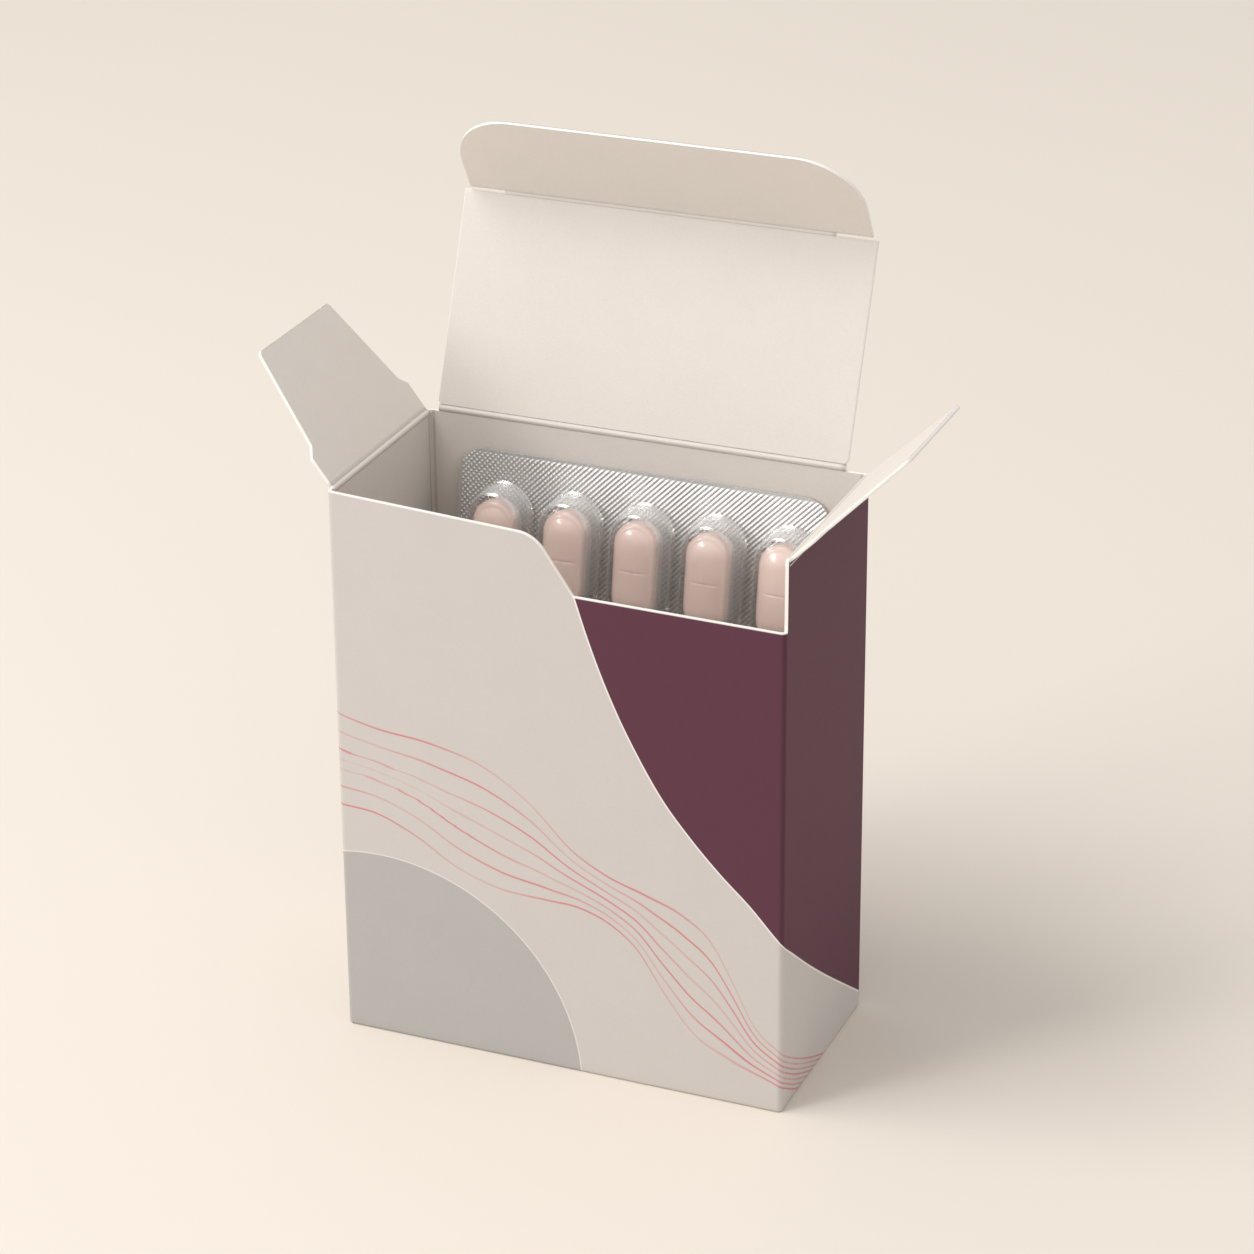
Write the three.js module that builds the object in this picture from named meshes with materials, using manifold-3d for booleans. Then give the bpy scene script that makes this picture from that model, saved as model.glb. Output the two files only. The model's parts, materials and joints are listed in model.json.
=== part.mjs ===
// Box of tablets: a folded carton with its lid, tuck and dust flaps open, and a blister of tablets inside.
// Millimetres, +Z up. The origin is the centre of the carton's base, and its front faces -Y.

import * as THREE from "three";
import { mergeVertices } from "three/addons/utils/BufferGeometryUtils.js";
import Module from "manifold-3d";

const wasm = await Module();
wasm.setup();

const degrees = THREE.MathUtils.degToRad;

// Carton
const width = 80;
const depth = 39.2;
const height = 100.9;
const board = 0.6;
const foldRadius = 0.9;
const layerGap = 0.3;
const creaseSpare = 0.25;

// Cut along the front panel's top
const cutTopFall = 1.85;
const cutKneeX = -3.2;
const cutLowLeft = 88.3;
const cutLowFall = 0.4;
const cutSlope = degrees(55.5);
const cutKneeRadius = 6;

// Lid and tuck
const lidInsetLeft = 2;
const lidInsetRight = 3.8;
const lidLean = degrees(21);
const tuckRunGap = 0.15;
const tuckInset = 0.9;
const tuckLength = 17.4;
const tuckFold = degrees(51);
const tuckShoulder = 7;
const tuckCornerRun = 11;

// Dust flaps
const dustFrontGap = 0.3;
const dustInsetBack = 1.2;
const dustLength = 25;
const dustShoulder = 6;
const dustStepRun = 1.7;
const dustStepFront = 2;
const dustStepBack = 1.7;
const dustTaperFront = 5;
const dustTaperBack = 5.8;
const dustTipRadius = 1;
const dustLeanLeft = degrees(37.7);
const dustLeanRight = degrees(45);

// Glued seam and glued base flaps
const seamWidth = 12;
const seamTaper = degrees(15);
const seamEndGap = 2.5;
const baseFlapGap = 0.3;
const baseFlapLength = 25;
const glueSink = 0.1;

// Blister
const sheetWidth = 67.5;
const sheetLength = 93.5;
const sheetCorner = 4.5;
const sheetLean = degrees(9);
const sheetRestGap = 0.3;
const foilThickness = 0.1;
const filmThickness = 0.25;
const sealGap = 0.3;
const columns = 5;
const rows = 4;
const columnPitch = 13;
const columnShift = 1.2;
const rowGap = 4.3;
const sheetTopMargin = 7.5;
const sheetFootMargin = 5.1;

// Tablets and the pockets formed round them
const tabletLength = (sheetLength - sheetTopMargin - sheetFootMargin - (rows - 1) * rowGap) / rows;
const rowPitch = tabletLength + rowGap;
const tabletWidth = 8;
const tabletThickness = 5;
const tabletBand = 1.8;
const tabletPlay = 0.3;
const pocketSpare = 1;
const pocketFlare = 0.5;
const pocketFootFlare = 0.3;
const pocketFootHeight = 0.9;
const pocketSideFlare = 0.1;
const pocketSideHeight = 4.2;
const pocketShoulderInset = 0.35;
const pocketShoulderDrop = 0.45;
const pocketCrownInset = 1.1;

// Rounding of a tablet's two faces
const domeRun = 2.4;

// Fineness of the arcs
const arcSteps = 6;
const roundSteps = 12;
const domeSteps = 3;

// Heights that follow from the board and the gap between its layers
const lidAxisHeight = height - board / 2;
const dustAxisHeight = lidAxisHeight - board - layerGap;
const frontTop = height - board - layerGap;
const creaseGap = board / 2 + creaseSpare;
const insideBack = depth / 2 - board;
const insideFront = -depth / 2 + board;
const tuckClosedY = insideFront + tuckRunGap + board / 2;
const lidAxisY = depth / 2 - board / 2;
const lidLength = lidAxisY - tuckClosedY;
const lidLeft = -width / 2 + lidInsetLeft;
const lidRight = width / 2 - lidInsetRight;
const baseTop = 3 * board;

// A closed geometry as a solid for joining and cutting
function solidOf(geometry) {
  const plain = geometry.index ? geometry.toNonIndexed() : geometry.clone();
  plain.deleteAttribute("normal");
  plain.deleteAttribute("uv");
  const merged = mergeVertices(plain, 1e-5);
  return new wasm.Manifold(new wasm.Mesh({
    numProp: 3,
    vertProperties: new Float32Array(merged.attributes.position.array),
    triVerts: new Uint32Array(merged.index.array),
  }));
}

// A solid back as a geometry
function geometryOf(solid) {
  const mesh = solid.getMesh();
  const geometry = new THREE.BufferGeometry();
  geometry.setAttribute("position", new THREE.BufferAttribute(new Float32Array(mesh.vertProperties), 3));
  geometry.setIndex(new THREE.BufferAttribute(new Uint32Array(mesh.triVerts), 1));
  geometry.computeVertexNormals();
  return geometry;
}

// A straight-sided block between two corners
function block(low, high) {
  const size = high.map((value, i) => value - low[i]);
  const geometry = new THREE.BoxGeometry(...size);
  geometry.translate(...high.map((value, i) => (value + low[i]) / 2));
  return geometry;
}

// A flat shape given thickness, from z = from to z = to
function plate(shape, from, to) {
  const geometry = new THREE.ExtrudeGeometry(shape, {
    depth: to - from,
    bevelEnabled: false,
    curveSegments: arcSteps,
  });
  geometry.translate(0, 0, from);
  return geometry;
}

// A shape drawn in X and Z, given thickness along Y
function uprightPlate(shape, from, to) {
  const geometry = plate(shape, -to, -from);
  geometry.rotateX(Math.PI / 2);
  return geometry;
}

// A rectangle with round corners, centred on the origin
function roundedRectangle(sizeX, sizeY, radius) {
  const x = sizeX / 2;
  const y = sizeY / 2;
  const shape = new THREE.Shape();
  shape.moveTo(-x + radius, -y);
  shape.absarc(x - radius, -y + radius, radius, -Math.PI / 2, 0);
  shape.absarc(x - radius, y - radius, radius, 0, Math.PI / 2);
  shape.absarc(-x + radius, y - radius, radius, Math.PI / 2, Math.PI);
  shape.absarc(-x + radius, -y + radius, radius, Math.PI, 1.5 * Math.PI);
  shape.closePath();
  return shape;
}

function material(name, color, roughness, extra = {}) {
  return new THREE.MeshStandardMaterial({ name, color, roughness, metalness: 0, ...extra });
}

const outerBoard = material("printed board", 0xd5ccc2, 0.7);
const innerBoard = material("plain board", 0xe6dfd7, 0.8);
const foilMetal = material("lidding foil", 0xb9b8b8, 0.35, { metalness: 0.9 });
const clearFilm = material("clear film", 0xf2f2f2, 0.1, { transparent: true, opacity: 0.35 });
const tabletCoat = material("tablet coat", 0xe5cdc3, 0.45);

// The line of the front panel's top: a gentle fall, a rounded knee, a steep fall, and the low edge.
// The returned shape is everything above that line, which is cut away.
function frontCutShape() {
  const left = -width / 2;
  const fallPerX = cutTopFall / (cutKneeX - left);
  const kneeZ = frontTop - cutTopFall;
  const gentle = Math.atan(fallPerX);
  const tangent = cutKneeRadius * Math.tan((cutSlope - gentle) / 2);
  const startX = cutKneeX - tangent * Math.cos(gentle);
  const startZ = kneeZ + tangent * Math.sin(gentle);
  const centreX = startX - cutKneeRadius * Math.sin(gentle);
  const centreZ = startZ - cutKneeRadius * Math.cos(gentle);
  const lowLeftX = cutKneeX + (kneeZ - cutLowLeft) / Math.tan(cutSlope);
  const above = height + board;
  const beyond = width / 2 + board;
  const lowRight = cutLowLeft - cutLowFall;
  const shape = new THREE.Shape();
  shape.moveTo(left - board, frontTop + fallPerX * board);
  shape.absarc(centreX, centreZ, cutKneeRadius, Math.PI / 2 - gentle, Math.PI / 2 - cutSlope, true);
  shape.lineTo(lowLeftX, cutLowLeft);
  shape.lineTo(width / 2, lowRight);
  shape.lineTo(beyond, lowRight);
  shape.lineTo(beyond, above);
  shape.lineTo(left - board, above);
  shape.closePath();
  return shape;
}

// Rounds a straight edge that runs along one axis: a square bar less a cylinder, to be cut away
function edgeRounder(length, radius) {
  const reach = radius + board;
  const shape = new THREE.Shape();
  shape.moveTo(-board, -board);
  shape.lineTo(reach, -board);
  shape.lineTo(reach, 0);
  shape.lineTo(radius, 0);
  shape.absarc(radius, radius, radius, 1.5 * Math.PI, Math.PI, true);
  shape.lineTo(0, reach);
  shape.lineTo(-board, reach);
  shape.closePath();
  const geometry = plate(shape, -length / 2, length / 2);
  return geometry;
}

// Four walls in one folded ring
function wallRing() {
  const outline = roundedRectangle(width, depth, foldRadius);
  const inner = roundedRectangle(width - 2 * board, depth - 2 * board, foldRadius - board);
  outline.holes.push(new THREE.Path(inner.getPoints(arcSteps).reverse()));
  return solidOf(plate(outline, 0, lidAxisHeight - creaseGap));
}

// Base flaps, glued on each other: the outer one from the front, the inner one from the back,
// and a short one from each side on top
function baseFlaps() {
  const x = width / 2 - board - baseFlapGap;
  const outer = block([-x, insideFront - glueSink, 0], [x, insideBack - baseFlapGap, board]);
  const innerLow = board - glueSink;
  const inner = block([-width / 2 + glueSink + board / 2, insideFront - glueSink, innerLow],
    [width / 2 - glueSink - board / 2, insideBack + glueSink, 2 * board]);
  let solid = solidOf(outer).add(solidOf(inner));
  for (const side of [-1, 1]) {
    const ends = [side * (width / 2 - board + glueSink), side * (width / 2 - baseFlapLength)];
    const low = [Math.min(...ends), insideFront + dustInsetBack, 2 * board - glueSink];
    const high = [Math.max(...ends), insideBack - dustInsetBack, baseTop];
    solid = solid.add(solidOf(block(low, high)));
  }
  return solid;
}

// Glued seam: a strip folded from the back panel and stuck inside the right panel
function seamStrip() {
  const shape = new THREE.Shape();
  const back = insideBack + glueSink;
  const front = insideBack - seamWidth;
  const low = baseTop + seamEndGap;
  const high = lidAxisHeight - creaseGap - seamEndGap;
  const rise = (back - front) * Math.tan(seamTaper);
  shape.moveTo(-back, low);
  shape.lineTo(-front, low + rise);
  shape.lineTo(-front, high - rise);
  shape.lineTo(-back, high);
  shape.closePath();
  const geometry = plate(shape, -board, glueSink);
  geometry.rotateX(Math.PI / 2);
  geometry.rotateZ(-Math.PI / 2);
  geometry.translate(width / 2 - board, 0, 0);
  return solidOf(geometry);
}

// Sleeve: four walls, the seam and the glued base, folded from one sheet
function sleeve() {
  let solid = wallRing().add(baseFlaps()).add(seamStrip());
  const cut = uprightPlate(frontCutShape(), -depth / 2 - board, insideFront + creaseSpare);
  solid = solid.subtract(solidOf(cut));
  const sideTop = dustAxisHeight - creaseGap;
  const frontEnd = dustFrontY() - creaseSpare;
  const backEnd = depth / 2 - dustInsetBack + creaseSpare;
  for (const side of [-1, 1]) {
    const xs = [side * (width / 2 - 2 * board), side * (width / 2 + board)];
    const low = [Math.min(...xs), frontEnd, sideTop];
    const high = [Math.max(...xs), backEnd, height + board];
    solid = solid.subtract(solidOf(block(low, high)));
  }
  for (const [length, turn, x, y] of [
    [width + 2 * board, 0, 0, -depth / 2],
    [depth + 2 * board, 90, width / 2, 0],
    [width + 2 * board, 180, 0, depth / 2],
    [depth + 2 * board, 270, -width / 2, 0],
  ]) {
    const rounder = edgeRounder(length, foldRadius);
    rounder.rotateY(Math.PI / 2);
    rounder.rotateX(Math.PI / 2);
    rounder.rotateZ(degrees(turn));
    rounder.translate(x, y, 0);
    solid = solid.subtract(solidOf(rounder));
  }
  return geometryOf(solid);
}

// Front edge of a closed dust flap: behind the tuck that slides in there
function dustFrontY() {
  return tuckClosedY + board / 2 + dustFrontGap;
}

// Lid panel, drawn flat: X across, Y from the hinge to the tuck's crease
function lidPanel() {
  const shape = new THREE.Shape();
  shape.moveTo(lidLeft, creaseGap);
  shape.lineTo(lidRight, creaseGap);
  shape.lineTo(lidRight, lidLength - creaseGap);
  shape.lineTo(lidLeft, lidLength - creaseGap);
  shape.closePath();
  return plate(shape, -board / 2, board / 2);
}

// Tuck, drawn flat: straight shoulders, then an elliptical corner at each end
function tuckPanel() {
  const left = lidLeft + tuckInset;
  const right = lidRight - tuckInset;
  const rise = tuckLength - tuckShoulder;
  const shape = new THREE.Shape();
  shape.moveTo(left, creaseGap);
  shape.lineTo(right, creaseGap);
  shape.absellipse(right - tuckCornerRun, tuckShoulder, tuckCornerRun, rise, 0, Math.PI / 2, false);
  shape.absellipse(left + tuckCornerRun, tuckShoulder, tuckCornerRun, rise, Math.PI / 2, Math.PI, false);
  shape.closePath();
  return plate(shape, -board / 2, board / 2);
}

// Dust flap, drawn flat: X along the crease from front to back, Y away from the crease
function dustPanel() {
  const front = dustFrontY();
  const back = depth / 2 - dustInsetBack;
  const step = dustShoulder + dustStepRun;
  const tip = dustLength - dustTipRadius;
  const shape = new THREE.Shape();
  shape.moveTo(front, creaseGap);
  shape.lineTo(back, creaseGap);
  shape.lineTo(back, dustShoulder);
  shape.lineTo(back - dustStepBack, step);
  shape.absarc(back - dustTaperBack - dustTipRadius, tip, dustTipRadius, 0, Math.PI / 2);
  shape.absarc(front + dustTaperFront + dustTipRadius, tip, dustTipRadius, Math.PI / 2, Math.PI);
  shape.lineTo(front + dustStepFront, step);
  shape.lineTo(front, dustShoulder);
  shape.closePath();
  return plate(shape, -board / 2, board / 2);
}

// One ring of a pill outline: a stadium of the given length and width at height z
function pillRing(length, span, z) {
  const radius = span / 2;
  const straight = length / 2 - radius;
  const half = roundSteps / 2;
  const points = [];
  for (const end of [1, -1]) {
    for (let i = 0; i <= half; i += 1) {
      const angle = (end > 0 ? 0 : Math.PI) + (Math.PI * i) / half;
      points.push([radius * Math.cos(angle), end * straight + radius * Math.sin(angle), z]);
    }
  }
  return points;
}

// A closed solid skinned over a stack of rings, with a flat cap at each end
function skinRings(rings) {
  const count = rings[0].length;
  const positions = rings.flat(2);
  const index = [];
  for (let r = 0; r + 1 < rings.length; r += 1) {
    for (let i = 0; i < count; i += 1) {
      const a = r * count + i;
      const b = r * count + ((i + 1) % count);
      index.push(a, b, b + count, a, b + count, a + count);
    }
  }
  const last = (rings.length - 1) * count;
  for (let i = 1; i + 1 < count; i += 1) {
    index.push(0, i + 1, i, last, last + i, last + i + 1);
  }
  const geometry = new THREE.BufferGeometry();
  geometry.setAttribute("position", new THREE.Float32BufferAttribute(positions, 3));
  geometry.setIndex(index);
  return geometry;
}

// A tablet lies along Y with its back at z = 0: a straight band between two domed faces, and each
// face's rounding runs as a quarter ellipse from the band to a flat middle
function tabletSolid() {
  const dome = (tabletThickness - tabletBand) / 2;
  const rings = [];
  for (let i = 0; i <= domeSteps; i += 1) {
    const angle = (Math.PI / 2) * (1 - i / domeSteps);
    const inset = domeRun * (1 - Math.cos(angle));
    rings.push([inset, dome * (1 - Math.sin(angle))]);
  }
  const top = rings.map(([inset, z]) => [inset, tabletThickness - z]).reverse();
  return skinRings([...rings, ...top].map(
    ([inset, z]) => pillRing(tabletLength - 2 * inset, tabletWidth - 2 * inset, z)));
}

// One pocket: flared walls that lean in towards a crown, from z = 0 up, grown outwards by skin.
// It is longer than its tablet, which has slid to the pocket's lower end.
function pocketSolid(skin) {
  const room = tabletPlay + skin;
  const top = tabletThickness + 2 * tabletPlay + skin;
  const sections = [
    [pocketFlare, 0],
    [pocketFootFlare, pocketFootHeight],
    [pocketSideFlare, pocketSideHeight],
    [-pocketShoulderInset, top - pocketShoulderDrop],
    [-pocketCrownInset, top],
  ];
  const pocket = skinRings(sections.map(([spread, z]) => pillRing(
    tabletLength + pocketSpare + 2 * (room + spread), tabletWidth + 2 * (room + spread), z)));
  pocket.translate(0, pocketSpare / 2, 0);
  return pocket;
}

// Places of the tablets on the sheet: X across, Y up the sheet
function tabletPlaces() {
  const places = [];
  for (let row = 0; row < rows; row += 1) {
    for (let column = 0; column < columns; column += 1) {
      const x = (column - (columns - 1) / 2) * columnPitch + columnShift;
      const y = (sheetLength - tabletLength) / 2 - sheetTopMargin - row * rowPitch;
      places.push([x, y, row, column]);
    }
  }
  return places;
}

// Clear film: a flat sheet with a hollow pocket over each tablet
function filmSheet() {
  const sheet = roundedRectangle(sheetWidth, sheetLength, sheetCorner);
  let solid = solidOf(plate(sheet, 0, filmThickness));
  const hollows = [];
  for (const [x, y] of tabletPlaces()) {
    const outer = pocketSolid(filmThickness);
    outer.translate(x, y, 0);
    solid = solid.add(solidOf(outer));
    const hollow = pocketSolid(0);
    hollow.translate(x, y, 0);
    hollows.push(solidOf(hollow));
    const mouth = plate(pocketMouth(), -filmThickness, filmThickness);
    mouth.translate(x, y, 0);
    hollows.push(solidOf(mouth));
  }
  for (const hollow of hollows) {
    solid = solid.subtract(hollow);
  }
  return geometryOf(solid);
}

// The pocket's mouth as a flat shape
function pocketMouth() {
  const room = 2 * (tabletPlay + pocketFlare);
  const ring = pillRing(tabletLength + pocketSpare + room, tabletWidth + room, 0);
  return new THREE.Shape(ring.map(([x, y]) => new THREE.Vector2(x, y + pocketSpare / 2)));
}

function named(name, geometry, look) {
  const mesh = new THREE.Mesh(geometry, look);
  mesh.name = name;
  return mesh;
}

const carton = new THREE.Group();
carton.add(named("sleeve", sleeve(), outerBoard));

// The lid leans back from upright, and the tuck folds forward from the lid's front crease
const lid = new THREE.Group();
lid.position.set(0, lidAxisY, lidAxisHeight);
lid.rotation.x = Math.PI / 2 - lidLean;
lid.add(named("lid", lidPanel(), innerBoard));
const tuck = new THREE.Group();
tuck.position.y = lidLength;
tuck.rotation.x = tuckFold;
tuck.add(named("tuck", tuckPanel(), innerBoard));
lid.add(tuck);
carton.add(lid);

// The dust flaps lean outwards from upright on the two side panels
for (const [name, side, lean] of [["left", -1, dustLeanLeft], ["right", 1, dustLeanRight]]) {
  const flap = new THREE.Group();
  flap.position.set(side * (width / 2 - board / 2), 0, dustAxisHeight);
  flap.rotation.y = side * lean;
  const panel = dustPanel();
  panel.rotateX(Math.PI / 2);
  panel.rotateZ(Math.PI / 2);
  flap.add(named("dust_flap_" + name, panel, innerBoard));
  carton.add(flap);
}

// The blister leans back against the back panel with its lower edge on the base flaps
const blister = new THREE.Group();
const footY = insideBack - sheetRestGap - sheetLength * Math.sin(sheetLean) - foilThickness;
const sheetMiddle = sheetLength / 2;
blister.position.set(0,
  footY + sheetMiddle * Math.sin(sheetLean),
  baseTop + sheetRestGap + sheetMiddle * Math.cos(sheetLean) + foilThickness);
blister.rotation.x = Math.PI / 2 - sheetLean;
const foil = plate(roundedRectangle(sheetWidth, sheetLength, sheetCorner), 0, foilThickness);
blister.add(named("foil", foil, foilMetal));
const film = filmSheet();
film.translate(0, 0, foilThickness + sealGap);
blister.add(named("film", film, clearFilm));
for (const [x, y, row, column] of tabletPlaces()) {
  const tablet = tabletSolid();
  tablet.translate(x, y, foilThickness + sealGap + tabletPlay);
  blister.add(named("tablet_" + (row + 1) + "_" + (column + 1), tablet, tabletCoat));
}
carton.add(blister);

export default carton;
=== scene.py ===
"""Box of tablets: the dressed model, laid out as a Blender add-on and run as a script.

Lengths in the surface functions are millimetres in the row frame, with the carton's front facing -Y.
"""

import json
import math
from typing import NamedTuple

import bmesh
import bpy
import numpy as np
from mathutils import Matrix, Vector


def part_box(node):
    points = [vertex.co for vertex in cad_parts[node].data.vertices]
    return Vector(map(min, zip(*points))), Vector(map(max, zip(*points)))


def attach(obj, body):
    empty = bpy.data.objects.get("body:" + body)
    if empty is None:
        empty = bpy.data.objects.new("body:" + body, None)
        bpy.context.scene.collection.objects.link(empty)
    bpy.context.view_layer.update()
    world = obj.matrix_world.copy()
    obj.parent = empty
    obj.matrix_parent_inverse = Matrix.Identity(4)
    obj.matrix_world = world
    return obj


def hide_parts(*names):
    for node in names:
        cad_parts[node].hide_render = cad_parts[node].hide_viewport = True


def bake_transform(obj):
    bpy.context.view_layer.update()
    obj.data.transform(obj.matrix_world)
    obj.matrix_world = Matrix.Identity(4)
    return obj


bl_info = {
    "name": "Box of Tablets",
    "version": (1, 0, 0),
    "blender": (4, 5, 0),
    "location": "3D View > Sidebar > Tablet Box",
    "description": "Builds a printed folding carton with a blister of tablets round a fixed frame",
    "category": "Add Mesh",
}

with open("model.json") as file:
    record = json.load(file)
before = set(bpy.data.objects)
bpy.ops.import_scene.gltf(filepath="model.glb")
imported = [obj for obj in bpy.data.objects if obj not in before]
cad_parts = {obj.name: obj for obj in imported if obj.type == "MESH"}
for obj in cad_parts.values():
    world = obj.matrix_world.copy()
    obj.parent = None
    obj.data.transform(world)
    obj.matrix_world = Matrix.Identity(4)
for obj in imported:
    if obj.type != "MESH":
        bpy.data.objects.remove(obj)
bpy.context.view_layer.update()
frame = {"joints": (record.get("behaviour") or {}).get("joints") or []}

MM = 0.001


def node_box(name):
    """Lowest and highest corner of a frame node in millimetres."""
    low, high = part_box(name)
    return np.array(low) / MM, np.array(high) / MM


def joint_named(name):
    """The frame's joint of that name."""
    return next(joint for joint in frame["joints"] if joint["name"] == name)


# Measures from the frame, in millimetres
SLEEVE_LOW, SLEEVE_HIGH = node_box("sleeve")
WIDTH = float(SLEEVE_HIGH[0] - SLEEVE_LOW[0])
DEPTH = float(SLEEVE_HIGH[1] - SLEEVE_LOW[1])
WALL_TOP = float(SLEEVE_HIGH[2])
LID_AXIS = np.array(joint_named("lid_hinge")["pos_m"]) / MM
TUCK_AXIS = np.array(joint_named("tuck_hinge")["pos_m"]) / MM
DUST_AXIS_Z = joint_named("dust_hinge_left")["pos_m"][2] / MM
DUST_AXIS_X = joint_named("dust_hinge_right")["pos_m"][0] / MM
LID_LOW, LID_HIGH = node_box("lid")
LID_LENGTH = float(np.linalg.norm(TUCK_AXIS[1:] - LID_AXIS[1:]))
LID_LEAN = math.atan2(TUCK_AXIS[1] - LID_AXIS[1], TUCK_AXIS[2] - LID_AXIS[2])
DUST_LOW, DUST_HIGH = node_box("dust_flap_left")


# Settings, hung on the scene
def colour_property(name, description, default):
    """A colour setting, as a red, green and blue between 0 and 1 in linear light."""
    return bpy.props.FloatVectorProperty(
        name=name, description=description, subtype="COLOR", size=3, min=0.0, max=1.0, default=default)


def length_property(name, description, default):
    """A length setting in metres."""
    return bpy.props.FloatProperty(
        name=name, description=description, subtype="DISTANCE", unit="LENGTH", default=default)


def angle_property(name, description, default):
    """An angle setting, given here in degrees."""
    return bpy.props.FloatProperty(
        name=name, description=description, subtype="ANGLE", unit="ROTATION", default=math.radians(default))


class BoardSettings(bpy.types.PropertyGroup):
    """Sizes of the carton board and its folds"""

    board: length_property("Board", "Thickness of the board", 0.0006)
    fold_radius: length_property("Fold radius", "Outer radius of the upright folds", 0.0009)
    crease_gap: length_property("Crease gap", "From a crease's axis to the flat panel", 0.00055)
    bead: length_property("Bead", "How far a crease's bead stands out on the inside", 0.00028)
    bead_width: length_property("Bead width", "Half width of a crease's bead", 0.0005)
    tuck_fold: angle_property("Tuck fold", "How far the tuck folds forward from the lid", 51.0)
    left_lean: angle_property("Left lean", "How far the left dust flap leans out", 37.7)
    right_lean: angle_property("Right lean", "How far the right dust flap leans out", 45.0)


class PrintSettings(bpy.types.PropertyGroup):
    """Colours of the carton's print and board"""

    cream: colour_property("Cream", "Ground colour of the print", (0.594, 0.557, 0.532))
    plum: colour_property("Plum", "The dark field", (0.098, 0.027, 0.051))
    grey: colour_property("Grey", "The disc", (0.445, 0.432, 0.415))
    pink: colour_property("Pink", "The wave lines", (0.620, 0.200, 0.215))
    inside: colour_property("Inside", "The plain inner side of the board", (0.735, 0.684, 0.636))
    cut: colour_property("Cut edge", "The board's cut edge", (0.900, 0.870, 0.830))


class BlisterSettings(bpy.types.PropertyGroup):
    """Sizes and colours of the blister and its tablets"""

    lean: angle_property("Lean", "How far the blister leans back", 9.0)
    corner: length_property("Corner", "Corner radius of the sheet", 0.0045)
    knurl_pitch: length_property("Knurl pitch", "Pitch of the seal pattern's diagonal ridges", 0.0007)
    knurl_height: length_property("Knurl height", "Height of the seal pattern", 0.00007)
    foil: colour_property("Foil", "The lidding foil", (0.860, 0.855, 0.845))
    film: colour_property("Film", "Light caught by the clear film", (0.900, 0.900, 0.895))
    tablet: colour_property("Tablet", "The tablets' coat", (0.985, 0.768, 0.695))


class StageSettings(bpy.types.PropertyGroup):
    """Camera, floor and lights"""

    lens: bpy.props.FloatProperty(
        name="Lens", description="Focal length on a 36 mm sensor, in millimetres", default=115.75)
    azimuth: angle_property("Azimuth", "Camera's turn round the box", 22.747)
    elevation: angle_property("Elevation", "Camera's height above the horizon", 24.815)
    roll: angle_property("Roll", "Camera's roll", 0.465)
    eye: bpy.props.FloatVectorProperty(
        name="Eye", description="Place of the camera", subtype="TRANSLATION", unit="LENGTH", size=3,
        default=(0.2392, -0.5593, 0.3552))
    floor: colour_property("Floor", "The seamless floor", (0.800, 0.735, 0.660))


# Shader maths
def arithmetic(operation, reflected=False):
    """An operator method for Value. The reflected forms take the other value first."""
    def method(value, other):
        return value.apply(operation, *((other, value) if reflected else (value, other)))
    return method


class Value:
    """A node socket that can stand in arithmetic: each operation adds its Math node."""

    def __init__(self, shader, socket):
        self.shader = shader
        self.socket = socket

    def apply(self, operation, *values):
        """The Math node of that operation on those values."""
        node = self.shader.node("ShaderNodeMath", {"operation": operation}, dict(enumerate(values)))
        return Value(self.shader, node.outputs[0])

    __add__ = arithmetic("ADD")
    __radd__ = arithmetic("ADD", reflected=True)
    __sub__ = arithmetic("SUBTRACT")
    __rsub__ = arithmetic("SUBTRACT", reflected=True)
    __mul__ = arithmetic("MULTIPLY")
    __rmul__ = arithmetic("MULTIPLY", reflected=True)
    __pow__ = arithmetic("POWER")

    def __abs__(self):
        return self.apply("ABSOLUTE", self)

    def fraction(self):
        """The part after the whole number."""
        return self.apply("FRACT", self)

    def sine(self):
        """The sine, of an angle in radians."""
        return self.apply("SINE", self)

    def at_most(self, other):
        """The smaller of two values."""
        return self.apply("MINIMUM", self, other)

    def at_least(self, other):
        """The larger of two values."""
        return self.apply("MAXIMUM", self, other)

    def ramp(self, low, high):
        """Rises smoothly from 0 at low to 1 at high, and falls if low is above high."""
        if low > high:
            return 1 - self.ramp(high, low)
        node = self.shader.node("ShaderNodeMapRange", {"interpolation_type": "SMOOTHSTEP"},
                                {"Value": self, "From Min": low, "From Max": high})
        return Value(self.shader, node.outputs["Result"])


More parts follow.
